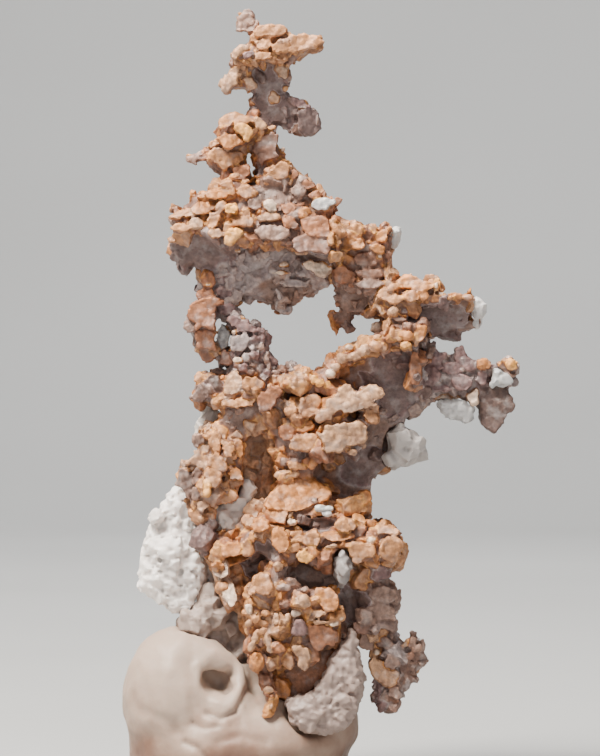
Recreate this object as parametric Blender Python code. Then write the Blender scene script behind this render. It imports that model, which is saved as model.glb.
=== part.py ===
"""Native copper: a branching growth with a loop in it, bits of its white gangue, and the lump of
mounting putty that it stands in.

Sizes in this file are millimetres until mesh_from() turns them into metres. +Z is up, the broad
face of the growth looks along -Y, and the origin is the middle of the putty's flat underside.

The copper grew in one piece, so all of it is fused first, out of plates (a drawn outline with a
thickness) and flat-faced crystals. It is then parted at its main forks by thin saw cuts, so that
each limb is a solid of its own.
"""

import math
import random

import bmesh
import bpy
from mathutils import Matrix, Vector, geometry

MM = 0.001

# ---------------------------------------------------------------- driving dimensions, mm

CLEARANCE = 0.3  # gap between neighbouring solids
KERF = 0.3  # width of the cut that parts two limbs
COPPER_GRAIN = 0.42  # edge of the grid that fuses copper's plates and crystals
COPPER_KEEP = 0.1  # share of the fused copper's faces that is kept until it is parted
GANGUE_GRAIN = 0.4
GANGUE_KEEP = 0.2
PUTTY_GRAIN = 0.9
PUTTY_KEEP = 0.3
COPPER_FACES_PER_MM2 = 1.25  # how finely the finished solids are faceted
GANGUE_FACES_PER_MM2 = 1.25
PUTTY_FACES_PER_MM2 = 0.42
PUTTY_BASE_Z = 0.0  # the putty is pressed flat here
EDGE_ROUND = 0.55  # how far a plate's rim is rounded back


# ---------------------------------------------------------------- copper, limb by limb
# A plate is (outline in x and z, front y, back y, lean). Lean is how far the plate runs back for
# each millimetre of height: above 0 its face looks up, below 0 it overhangs.
# A crystal is (x, y, z, half width, half depth, half height, roll in degrees).

TOP_SPRIG_PLATES = [
    # the nub at the very top
    ([(-2.0, 83.4), (-1.7, 84.3), (-1.8, 85.1), (-1.2, 85.2), (-0.9, 86.0), (-0.6, 86.3), (-0.2, 86.0),
      (-0.1, 85.4), (0.4, 84.9), (0.6, 84.2), (1.0, 83.8), (0.4, 83.3), (-0.6, 83.2)], -0.9, 0.9, 0.0),
    # the ledge under it, lit from above
    ([(-2.7, 80.0), (-2.2, 80.6), (-2.1, 81.2), (-1.5, 81.7), (-0.5, 82.1), (-0.2, 82.8), (0.3, 83.5),
      (1.0, 84.0), (2.5, 84.1), (3.8, 84.0), (4.3, 83.4), (4.7, 82.9), (6.0, 83.1), (6.9, 83.1),
      (7.4, 82.6), (8.2, 82.3), (8.1, 81.8), (7.7, 81.2), (7.0, 81.3), (6.4, 80.8), (5.4, 80.5),
      (4.9, 79.9), (3.0, 79.8), (1.0, 79.8), (-0.2, 79.6), (-1.4, 79.9)], -2.5, 2.3, 0.35),
    # the arm at the left
    ([(-2.4, 79.9), (-2.5, 79.1), (-3.1, 78.5), (-3.6, 78.2), (-3.4, 77.5), (-3.2, 76.9), (-2.9, 76.5),
      (-2.3, 76.6), (-1.6, 77.0), (-0.6, 76.9), (0.1, 77.3), (0.3, 79.6), (-1.0, 80.4)], -1.7, 1.0, 0.0),
    # the dark leaf that hangs under the ledge
    ([(-0.8, 80.4), (-0.6, 77.0), (-0.2, 76.1), (0.1, 75.0), (0.2, 74.2), (0.7, 73.2), (1.9, 72.4),
      (2.4, 72.9), (3.3, 72.8), (3.6, 72.1), (4.1, 71.8), (4.8, 72.0), (5.1, 72.3), (5.6, 71.7),
      (6.3, 71.6), (7.1, 71.9), (7.8, 72.6), (7.7, 73.5), (7.5, 74.5), (6.7, 74.8), (6.4, 75.4),
      (5.5, 75.8), (5.2, 76.2), (4.3, 76.5), (3.8, 77.1), (4.2, 77.6), (4.1, 78.4), (4.7, 78.8),
      (4.5, 79.5), (4.0, 80.4)], -0.6, 0.9, -0.12),
]
TOP_SPRIG_CRYSTALS = [
    (-0.7, 0.0, 85.3, 0.8, 0.8, 0.9, 20), (-1.0, -0.3, 84.0, 1.0, 0.9, 0.8, -15),
    (2.4, -1.6, 83.2, 1.5, 1.0, 0.9, 15), (6.4, -0.4, 82.2, 1.5, 1.2, 0.9, 20),
    (-1.2, -1.5, 80.9, 1.2, 1.0, 0.9, 30), (-2.6, -0.6, 77.7, 0.9, 1.0, 1.1, 0),
    (3.2, 1.8, 81.2, 1.8, 1.2, 1.3, 10), (6.6, 0.4, 73.2, 1.1, 0.8, 1.4, 0),
    (3.8, 0.9, 75.0, 1.3, 0.8, 1.3, 30), (1.5, 1.2, 78.3, 1.2, 1.0, 1.6, 0),
]

NECK_PLATES = [
    ([(-3.9, 73.0), (-3.3, 73.9), (-2.3, 74.4), (-1.0, 74.2), (0.4, 74.2), (1.5, 73.5), (1.9, 72.6),
      (0.9, 71.6), (0.2, 71.0), (-1.2, 70.4), (-2.4, 70.0), (-3.0, 70.6), (-3.7, 71.7)], -2.3, 1.2, 0.2),
    # the spike that points left
    ([(-7.6, 69.6), (-6.6, 69.9), (-5.6, 70.4), (-4.6, 71.3), (-3.4, 71.7), (-2.6, 70.6), (-4.0, 69.7),
      (-5.3, 69.0), (-6.1, 68.4), (-6.4, 69.0)], -1.1, 0.5, 0.0),
    # two legs with daylight between them
    ([(-4.9, 68.8), (-4.6, 69.9), (-3.3, 70.7), (-2.0, 70.9), (-0.6, 70.6), (-0.6, 69.0), (-0.1, 68.3),
      (-0.2, 67.3), (-0.6, 66.2), (-2.6, 66.0), (-3.2, 67.4), (-4.2, 67.8)], -1.9, 1.2, 0.0),
    ([(0.0, 71.2), (0.6, 71.8), (1.4, 73.0), (2.1, 73.1), (2.6, 72.0), (3.0, 71.0), (3.4, 70.3),
      (3.6, 69.6), (4.2, 68.7), (4.7, 67.9), (5.0, 66.4), (1.2, 66.4), (0.6, 66.6), (0.6, 67.6),
      (0.1, 69.0), (-0.2, 70.1)], -1.4, 1.6, 0.1),
]
NECK_CRYSTALS = [
    (-2.9, -1.2, 72.9, 1.0, 1.2, 1.2, 35), (-0.7, -2.2, 72.2, 1.2, 0.9, 0.9, 0),
    (-3.2, -1.6, 69.7, 1.2, 1.0, 1.0, -20), (-1.2, -1.4, 67.9, 1.1, 1.0, 1.2, 0),
    (2.2, -1.2, 70.3, 1.1, 1.0, 1.3, 15), (2.5, 1.4, 69.2, 1.3, 1.0, 1.6, 0),
    (-2.2, 1.1, 71.6, 1.5, 0.9, 1.4, 0), (-2.4, 1.0, 68.6, 1.4, 0.9, 1.2, 10),
    (-5.6, -0.2, 69.7, 1.2, 0.7, 0.5, -30),
]

UPPER_MASS_PLATES = [
    # the mound and its row of crystals
    ([(-4.0, 66.6), (-3.3, 66.3), (-2.0, 67.4), (-1.0, 67.4), (0.0, 66.5), (0.7, 66.4), (1.3, 67.6),
      (2.6, 68.8), (3.6, 69.3), (4.3, 68.9), (4.9, 67.9), (5.5, 67.0), (6.9, 66.7), (7.4, 66.0),
      (8.0, 65.4), (9.2, 64.8), (9.5, 63.9), (8.8, 63.2), (8.9, 62.2), (9.8, 61.9), (9.9, 58.6),
      (8.4, 58.0), (5.5, 58.6), (4.2, 59.2), (2.5, 59.3), (0.5, 59.6), (-1.5, 59.3), (-2.5, 58.9),
      (-4.9, 60.2), (-6.0, 61.0), (-8.0, 60.5), (-9.0, 60.9), (-8.9, 61.7), (-8.2, 62.2), (-9.3, 62.7),
      (-9.0, 63.2), (-7.4, 63.5), (-6.9, 64.2), (-6.7, 65.2), (-5.5, 65.6), (-4.2, 65.5)], -4.0, 3.4, 0.3),
    # the dark underside at the left
    ([(-9.0, 61.0), (-9.4, 59.3), (-8.3, 58.2), (-8.2, 56.9), (-7.4, 56.6), (-6.5, 57.3), (-5.9, 57.0),
      (-5.5, 55.5), (-2.0, 55.0), (-1.0, 57.5), (-1.0, 60.0), (-5.0, 61.4), (-7.0, 61.4)], -1.9, 2.4, -0.3),
    # the thin dusty curtain along the top of the loop
    ([(-2.6, 54.1), (-1.8, 54.1), (-1.0, 53.6), (0.3, 53.4), (1.1, 53.2), (1.8, 53.2), (2.3, 52.4),
      (3.2, 51.8), (4.5, 52.2), (4.6, 53.1), (5.4, 53.2), (5.9, 53.9), (7.2, 54.3), (8.1, 55.0),
      (8.8, 56.2), (8.9, 57.6), (8.8, 59.2), (5.0, 60.0), (0.0, 60.4), (-2.5, 60.0), (-3.2, 56.0)],
     -0.9, 0.9, -0.18),
]
UPPER_MASS_CRYSTALS = [
    (-8.0, -1.6, 62.9, 1.4, 1.0, 0.5, 0), (-6.0, -2.4, 64.5, 1.3, 1.3, 1.0, 20),
    (-4.2, -2.8, 64.3, 1.1, 1.2, 1.0, 0), (-7.4, -2.8, 61.6, 1.4, 1.2, 0.7, -10),
    (-4.6, -3.4, 62.4, 1.2, 1.2, 1.1, 0), (-2.1, -3.9, 63.3, 1.1, 1.2, 0.9, 0),
    (-2.1, -4.4, 60.9, 1.5, 1.1, 0.8, 10), (-0.6, -2.6, 65.3, 1.5, 1.3, 1.0, 0),
    (-2.4, -1.4, 66.4, 0.7, 1.0, 1.2, 10), (2.8, -1.6, 67.0, 1.9, 1.6, 2.0, 0),
    (5.2, -1.2, 66.9, 1.0, 1.2, 1.0, 0), (6.6, -0.6, 66.0, 1.2, 1.2, 0.8, -20),
    (5.2, -3.0, 64.9, 1.4, 1.2, 1.0, 10), (1.8, -3.8, 63.5, 1.2, 1.0, 0.9, 0),
    (2.3, -4.3, 61.0, 2.0, 1.1, 0.9, 0), (4.6, -3.6, 62.8, 1.3, 1.2, 1.1, 0),
    (6.8, -3.6, 61.7, 1.8, 1.2, 1.2, 0), (5.6, -4.3, 59.7, 1.7, 1.1, 0.8, 0),
    (8.0, -3.6, 59.2, 1.4, 1.2, 0.8, -10), (8.0, -1.4, 64.2, 1.2, 1.2, 0.9, 20),
    (-6.2, 2.0, 62.2, 2.2, 1.6, 1.8, 0), (-2.6, 3.2, 62.8, 2.4, 1.6, 2.0, 0),
    (1.8, 3.4, 63.8, 2.6, 1.8, 2.4, 0), (6.0, 3.0, 62.0, 2.4, 1.7, 2.0, 0),
    (3.2, 2.4, 66.4, 1.7, 1.3, 1.6, 0), (-5.8, 1.6, 58.6, 1.8, 1.3, 1.5, 0),
    (0.6, 3.0, 60.6, 2.0, 1.4, 1.3, 0), (3.4, 0.8, 54.6, 1.6, 0.9, 1.4, 0),
    (-0.4, 0.9, 56.6, 1.7, 0.9, 1.5, 0), (6.2, 0.9, 56.6, 1.7, 0.9, 1.4, 0),
    (-7.6, -1.0, 58.6, 1.4, 1.0, 1.0, 0), (-4.6, -1.4, 58.4, 1.5, 1.0, 1.2, 20),
    (-1.6, -1.0, 57.4, 1.2, 0.9, 1.1, 0), (0.8, -1.2, 56.0, 1.5, 0.9, 1.1, -30),
    (3.4, -1.3, 56.4, 1.3, 0.9, 1.3, 25), (6.9, -2.0, 57.2, 1.8, 1.2, 1.3, 0),
    (3.4, -1.2, 53.2, 1.0, 0.8, 1.2, 0), (5.8, -1.0, 54.8, 1.2, 0.8, 0.9, 20),
    (-0.6, -0.9, 54.6, 1.1, 0.8, 0.8, 0),
]

RIGHT_SHOULDER_PLATES = [
    ([(8.6, 60.6), (8.8, 62.0), (9.9, 61.8), (10.3, 62.4), (11.0, 62.0), (12.3, 62.2), (13.2, 62.3),
      (14.0, 61.4), (14.5, 61.7), (15.5, 62.1), (15.9, 61.9), (15.2, 61.0), (15.1, 59.4), (15.6, 58.9),
      (15.3, 58.0), (14.6, 57.5), (14.8, 56.9), (15.2, 56.2), (15.0, 54.8), (13.0, 54.0), (11.0, 55.0),
      (9.5, 55.5), (9.2, 57.0), (8.8, 58.6)], -2.8, 2.8, 0.1),
    # the dark prongs below it
    ([(9.5, 56.0), (9.0, 54.7), (9.2, 53.6), (9.6, 52.6), (8.8, 52.1), (8.1, 51.5), (8.6, 50.8),
      (9.2, 50.2), (9.9, 51.0), (10.3, 50.1), (11.3, 50.1), (11.2, 51.0), (11.3, 51.9), (12.3, 52.3),
      (12.8, 53.2), (13.4, 55.0), (12.0, 56.5)], -0.7, 0.9, -0.1),
]
RIGHT_SHOULDER_CRYSTALS = [
    (10.4, -1.6, 61.3, 0.8, 1.1, 1.0, 0), (12.2, -2.0, 61.0, 1.2, 1.1, 1.1, 0),
    (14.4, -1.2, 61.2, 1.0, 1.2, 0.8, 20), (10.8, -2.6, 59.9, 1.4, 1.1, 1.0, 0),
    (13.4, -2.4, 59.8, 1.3, 1.1, 1.1, 0), (12.0, -2.0, 57.6, 1.7, 1.2, 1.3, 0),
    (14.3, -1.6, 58.0, 0.9, 1.1, 1.0, 0), (13.6, -1.8, 56.2, 1.4, 1.1, 0.9, -15),
    (11.2, -1.6, 55.6, 1.3, 1.0, 0.8, 0), (11.0, 2.4, 60.0, 1.8, 1.4, 1.6, 0),
    (13.4, 2.2, 58.0, 1.6, 1.3, 1.7, 0), (10.6, 0.8, 53.4, 1.2, 0.8, 1.3, 0),
]

RIGHT_LEDGE_PLATES = [
    # the crystals along its top
    ([(12.6, 53.2), (13.0, 54.4), (14.5, 55.4), (15.0, 56.0), (15.5, 56.6), (15.9, 55.9), (17.0, 56.3),
      (18.0, 56.3), (18.9, 55.8), (19.9, 55.9), (20.6, 56.0), (21.0, 55.4), (20.7, 54.7), (21.6, 54.2),
      (22.5, 54.2), (24.5, 54.2), (24.7, 53.3), (22.0, 53.0), (18.5, 52.6), (17.2, 51.8), (15.0, 50.9),
      (14.6, 51.9), (13.4, 52.2)], -3.4, 2.3, 0.3),
    # the dark blade under them
    ([(12.2, 52.8), (12.8, 51.2), (13.5, 51.4), (14.7, 51.7), (15.0, 50.7), (16.5, 50.4), (17.5, 50.8),
      (19.3, 50.9), (19.8, 50.3), (19.9, 49.5), (20.6, 49.2), (22.5, 49.8), (24.1, 49.9), (24.2, 51.0),
      (25.1, 51.6), (25.1, 52.3), (24.6, 53.4), (22.0, 54.0), (16.0, 54.0)], -1.0, 1.6, -0.2),
]
RIGHT_LEDGE_CRYSTALS = [
    (17.2, -1.4, 55.4, 1.4, 1.2, 0.9, 0), (15.4, -2.8, 54.7, 1.2, 1.1, 0.7, 0),
    (17.2, -3.2, 54.2, 1.4, 1.0, 0.7, 0), (19.2, -2.0, 54.8, 1.2, 1.1, 0.9, 0),
    (20.3, -1.4, 55.3, 0.8, 1.0, 0.8, 0), (22.0, -1.6, 54.0, 1.1, 0.9, 0.5, 0),
    (23.8, -1.4, 53.8, 0.9, 0.9, 0.5, 0), (15.7, -2.8, 52.3, 1.2, 1.0, 0.9, 0),
    (15.7, -2.2, 51.2, 1.2, 1.0, 0.6, 0), (17.0, 2.0, 54.4, 1.8, 1.2, 1.3, 0),
    (20.0, 1.8, 53.0, 2.0, 1.0, 1.4, 0), (22.6, 1.0, 51.8, 1.6, 0.9, 1.3, 0),
]

RIGHT_ARM_PLATES = [
    ([(18.0, 44.0), (18.2, 48.2), (18.8, 48.1), (20.0, 48.5), (21.0, 48.0), (21.7, 47.7), (21.3, 46.9),
      (22.0, 46.8), (22.6, 47.2), (22.5, 48.4), (23.3, 48.5), (23.9, 47.6), (25.0, 46.9), (25.9, 47.1),
      (26.6, 46.8), (28.0, 47.1), (29.4, 47.1), (29.8, 46.0), (29.2, 45.0), (28.9, 44.2), (28.8, 43.4),
      (28.4, 43.1), (29.1, 41.7), (28.8, 40.9), (27.9, 40.5), (27.2, 39.2), (26.2, 39.9), (25.2, 41.2),
      (24.6, 42.4), (22.5, 42.4), (20.5, 42.4), (19.4, 42.3), (18.4, 42.8)], -1.1, 1.1, -0.05),
]
RIGHT_ARM_CRYSTALS = [
    (20.1, -0.6, 47.2, 1.4, 0.9, 1.1, 0), (19.9, -1.0, 44.6, 1.4, 1.0, 1.2, 0),
    (23.2, -0.6, 46.0, 1.4, 1.0, 1.4, 0), (25.8, -1.0, 46.4, 1.0, 0.9, 0.7, 0),
    (28.6, -0.8, 46.3, 1.1, 1.2, 0.9, 0), (22.4, -0.9, 44.4, 1.2, 0.9, 0.9, 0),
    (27.2, -0.5, 42.4, 1.6, 0.8, 1.6, 0), (21.6, 1.2, 45.4, 1.8, 1.0, 1.6, 0),
    (25.4, 1.0, 44.6, 1.7, 0.9, 1.5, 0), (27.6, 0.9, 42.0, 1.2, 0.7, 1.3, 0),
]

LEFT_LIMB_PLATES = [
    # the dark stem
    ([(-6.2, 58.0), (-5.9, 56.5), (-5.7, 55.8), (-6.3, 54.8), (-6.1, 53.6), (-4.6, 52.4), (-3.9, 51.4),
      (-2.6, 51.9), (-1.2, 52.0), (-1.6, 52.7), (-1.7, 53.6), (-2.2, 54.1), (-1.6, 55.5), (-1.6, 58.0)],
     -1.0, 1.5, -0.1),
    # the wedge-shaped crystals that hang at the left
    ([(-6.9, 52.3), (-6.2, 53.5), (-5.0, 54.0), (-3.4, 53.6), (-3.8, 52.6), (-3.9, 51.0), (-4.0, 49.6),
      (-3.7, 48.3), (-4.2, 47.2), (-5.0, 46.5), (-6.0, 47.5), (-6.6, 48.8), (-6.4, 49.8), (-7.3, 50.0),
      (-7.6, 51.3)], -2.8, 0.2, -0.1),
    # the knobbly violet column at the right
    ([(-3.0, 52.2), (-1.2, 52.0), (-0.3, 51.8), (-0.2, 51.3), (0.6, 50.6), (1.7, 50.7), (1.4, 50.0),
      (1.8, 49.4), (1.8, 48.3), (2.3, 47.2), (2.5, 46.3), (3.2, 46.4), (4.3, 46.7), (4.1, 45.4),
      (3.2, 44.4), (-1.8, 44.4), (-2.0, 46.4), (-3.6, 46.6), (-3.7, 47.4), (-2.5, 48.2), (-2.3, 49.6)],
     -1.9, 1.6, 0.0),
]
LEFT_LIMB_CRYSTALS = [
    (-5.2, -2.0, 52.6, 1.6, 1.1, 1.1, 10), (-5.2, -2.0, 49.8, 1.2, 1.2, 1.5, 0),
    (-5.1, -1.8, 47.8, 0.9, 0.9, 1.1, 0), (-7.0, -1.2, 50.8, 0.6, 0.8, 0.9, 0),
    (-1.0, -1.5, 51.1, 1.3, 1.0, 0.9, 0), (0.5, -1.7, 49.5, 1.2, 1.0, 1.2, 0),
    (-1.3, -1.9, 48.9, 1.1, 1.0, 1.2, 0), (0.8, -2.0, 47.4, 1.2, 1.0, 1.1, 0),
    (-1.0, -1.9, 46.6, 1.1, 1.0, 0.9, 0), (3.4, -0.8, 45.8, 0.9, 0.9, 0.7, 20),
    (-4.0, -0.7, 55.2, 1.2, 0.8, 1.4, 0), (-4.2, 1.3, 55.6, 1.6, 1.0, 1.8, 0),
    (-0.4, 1.6, 49.4, 1.7, 1.0, 1.9, 0), (-3.2, 1.0, 52.8, 1.3, 1.0, 1.3, 0),
    (-5.2, 0.2, 50.2, 1.3, 0.9, 1.7, 0), (-3.0, -1.1, 47.1, 0.8, 0.8, 0.6, 0),
]

LEFT_COLUMN_PLATES = [
    # the dark knob at its top left and the lit band beside it
    ([(-5.9, 44.6), (-5.5, 45.8), (-4.9, 45.6), (-4.8, 45.0), (-2.4, 45.6), (-1.8, 44.8), (0.0, 45.2),
      (1.6, 45.0), (3.2, 45.0), (3.4, 41.0), (0.0, 41.2), (-2.0, 41.4), (-3.6, 41.8), (-3.8, 42.1),
      (-5.2, 42.1), (-6.4, 42.4), (-7.0, 42.8), (-6.2, 43.6)], -2.6, 2.2, 0.1),
    # the column of blocky crystals
    ([(-3.0, 42.0), (-3.4, 40.8), (-5.7, 39.6), (-6.0, 38.9), (-6.5, 38.4), (-6.2, 37.5), (-6.0, 36.5),
      (-7.0, 35.9), (-7.9, 35.4), (-8.1, 34.5), (-8.0, 33.8), (-8.5, 33.0), (-7.4, 33.0), (-7.0, 31.8),
      (-7.1, 30.6), (-6.3, 30.2), (-6.0, 29.5), (-4.8, 28.6), (-2.6, 28.0), (-1.4, 31.2), (-0.9, 33.4),
      (-0.7, 36.0), (-0.6, 38.2), (1.4, 38.6), (2.6, 42.0)], -3.4, 2.6, 0.0),
    # the wall at the back of the cleft
    ([(-1.6, 42.0), (-1.4, 34.0), (-0.6, 31.0), (0.6, 29.0), (3.0, 29.0), (3.0, 42.0)], 0.4, 3.4, -0.12),
]
LEFT_COLUMN_CRYSTALS = [
    (-4.2, -1.6, 43.7, 1.3, 1.3, 1.4, 0), (-6.0, -1.0, 43.2, 0.9, 1.0, 0.8, 0),
    (-1.8, -3.0, 44.1, 1.4, 1.2, 0.9, 0), (0.3, -3.3, 44.2, 1.2, 1.2, 0.9, 0),
    (-0.4, -3.9, 42.9, 1.3, 1.1, 0.7, 0), (-2.6, -3.3, 42.3, 1.2, 1.0, 0.7, 0),
    (1.9, -3.8, 42.8, 1.3, 1.3, 1.3, 0), (-4.2, -3.0, 38.4, 1.5, 1.2, 1.0, 0),
    (-5.8, -2.6, 38.0, 0.8, 1.1, 0.9, 0), (-2.3, -4.1, 37.3, 1.0, 1.1, 1.1, 0),
    (-5.2, -3.4, 36.4, 1.1, 1.2, 1.1, 0), (-3.5, -3.8, 35.8, 1.1, 1.2, 1.4, 0),
    (-6.8, -2.6, 34.8, 1.2, 1.2, 1.2, 0), (-4.5, -4.1, 34.4, 1.1, 1.2, 1.3, 0),
    (-2.0, -3.8, 34.6, 1.1, 1.2, 1.2, 0), (-4.9, -4.5, 32.6, 0.8, 1.1, 1.2, 0),
    (-2.9, -4.1, 32.4, 1.4, 1.1, 0.9, 0), (-6.3, -2.8, 32.2, 1.1, 1.2, 1.2, 0),
    (-6.1, -3.2, 30.8, 1.2, 1.0, 0.7, 0), (-1.2, -3.0, 37.0, 0.7, 1.2, 1.3, 0),
    (-4.6, 2.4, 42.8, 1.8, 1.3, 1.8, 0), (-0.6, 2.6, 43.0, 2.0, 1.4, 1.8, 0),
    (-4.2, 2.8, 38.4, 1.9, 1.5, 2.0, 0), (-5.6, 2.4, 34.6, 1.9, 1.5, 2.0, 0),
    (-3.0, 3.0, 33.0, 2.0, 1.6, 2.2, 0),
]

CENTRAL_MASS_PLATES = [
    # the overhanging wall, in shadow
    ([(0.8, 41.0), (1.6, 44.6), (3.6, 45.6), (8.0, 46.0), (13.0, 49.0), (18.8, 50.2), (19.2, 48.4),
      (19.2, 43.0), (18.6, 42.0), (18.4, 41.0), (17.0, 40.3), (17.3, 39.0), (17.0, 37.5), (16.0, 36.0),
      (14.8, 34.8), (14.2, 34.3), (13.6, 33.5), (13.4, 32.0), (13.4, 31.1), (12.4, 30.2), (11.7, 29.4),
      (11.0, 28.4), (0.6, 28.4), (0.6, 34.0)], -0.6, 4.4, -0.22),
    # the rim of small crystals along its top edge
    ([(3.0, 45.2), (4.6, 45.5), (6.0, 46.1), (7.0, 45.4), (8.6, 46.8), (9.4, 47.6), (10.3, 48.7),
      (11.4, 48.5), (12.4, 48.8), (13.2, 49.6), (14.6, 50.2), (15.0, 51.2), (17.4, 51.2), (19.0, 51.2),
      (19.3, 50.2), (19.0, 49.4), (18.8, 48.2), (18.7, 44.4), (17.4, 44.2), (17.4, 47.6), (15.6, 48.0),
      (13.2, 47.6), (11.8, 46.9), (10.0, 46.2), (8.8, 45.2), (8.8, 44.0), (7.0, 43.9), (4.0, 43.9)],
     -4.4, 2.6, 0.15),
    # the lobed leaf that stands out in front of the wall
    ([(7.2, 41.2), (7.6, 41.9), (8.4, 42.4), (9.2, 43.0), (9.3, 44.0), (10.0, 44.5), (10.8, 44.4),
      (11.2, 43.8), (11.6, 43.4), (12.0, 43.7), (12.6, 44.2), (13.4, 44.4), (14.0, 44.0), (14.7, 43.4),
      (14.4, 42.6), (13.9, 41.6), (14.0, 40.3), (12.6, 40.4), (12.0, 41.2), (10.0, 41.0), (8.6, 40.6)],
     -5.6, -0.5, 0.25),
    # the second one below it
    ([(7.1, 39.2), (8.0, 40.1), (9.5, 40.1), (11.0, 40.3), (12.0, 40.4), (12.7, 39.8), (12.8, 38.8),
      (12.7, 37.4), (11.4, 36.4), (10.3, 36.5), (9.8, 36.9), (8.8, 36.8), (7.9, 37.0), (7.7, 37.8),
      (8.0, 38.3), (7.4, 38.8)], -5.8, -0.5, 0.2),
    # the left part, all crystals
    ([(2.4, 36.0), (2.2, 40.0), (3.0, 42.6), (5.0, 43.2), (7.6, 43.2), (8.0, 40.0), (7.4, 36.8),
      (7.0, 34.0), (3.0, 33.0)], -3.6, 1.0, 0.0),
]
CENTRAL_MASS_CRYSTALS = [
    (18.0, -3.9, 50.1, 1.2, 1.1, 1.0, 0), (15.9, -4.0, 49.8, 1.3, 1.1, 0.8, 0),
    (16.8, -4.3, 48.6, 1.3, 1.1, 0.8, 0), (14.1, -3.8, 48.9, 1.2, 1.1, 0.8, 0),
    (12.3, -3.8, 47.9, 1.2, 1.1, 0.8, 0), (10.4, -3.6, 47.3, 1.3, 1.1, 0.8, 0),
    (8.7, -3.6, 46.1, 1.1, 1.1, 0.8, 0), (8.0, -4.4, 44.5, 1.1, 1.1, 0.7, 0),
    (6.1, -3.8, 45.1, 1.0, 1.1, 0.9, 0), (4.6, -3.9, 44.5, 1.2, 1.1, 0.7, 0),
    (18.1, -3.6, 46.4, 0.8, 1.1, 1.6, 0), (18.0, -3.4, 44.4, 0.9, 1.0, 0.9, 0),
    (10.1, -5.2, 43.0, 1.2, 0.7, 1.3, 0), (13.0, -5.0, 43.2, 1.5, 0.8, 1.0, 0),
    (13.2, -4.2, 41.2, 0.9, 1.2, 1.0, 0), (8.4, -4.8, 41.0, 1.3, 1.0, 0.7, 0),
    (11.5, -5.4, 38.9, 1.2, 1.0, 1.2, 0), (8.9, -5.4, 37.9, 1.3, 1.0, 1.0, 0),
    (9.2, -5.2, 39.3, 1.3, 1.0, 0.8, 0), (11.0, -4.8, 36.9, 0.8, 1.0, 0.8, 0),
    (6.6, -3.9, 42.1, 1.1, 1.2, 1.4, 0), (4.2, -3.8, 41.8, 1.2, 1.2, 0.9, 0),
    (5.4, -3.9, 40.1, 1.3, 1.1, 0.8, 0), (3.5, -3.2, 39.2, 1.2, 1.1, 1.0, 0),
    (5.7, -4.4, 37.9, 1.6, 1.2, 1.1, 0), (4.8, -3.4, 35.6, 1.5, 1.2, 1.0, 0),
    (6.7, -3.9, 36.0, 0.8, 1.0, 1.3, 0), (12.1, -3.4, 31.8, 1.6, 1.2, 0.8, 40),
    (4.0, 4.2, 42.0, 2.4, 1.8, 2.4, 0), (9.0, 4.6, 44.0, 2.6, 1.9, 2.4, 0),
    (14.0, 4.0, 46.0, 2.6, 1.8, 2.4, 0), (15.0, 4.0, 40.6, 2.2, 1.7, 2.6, 0),
    (9.6, 4.8, 38.4, 2.6, 1.9, 2.6, 0), (4.4, 4.4, 35.6, 2.4, 1.9, 2.6, 0),
    (10.4, 4.4, 33.0, 2.4, 1.8, 2.4, 0), (16.8, 2.6, 48.8, 1.6, 1.4, 1.2, 0),
]

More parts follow.
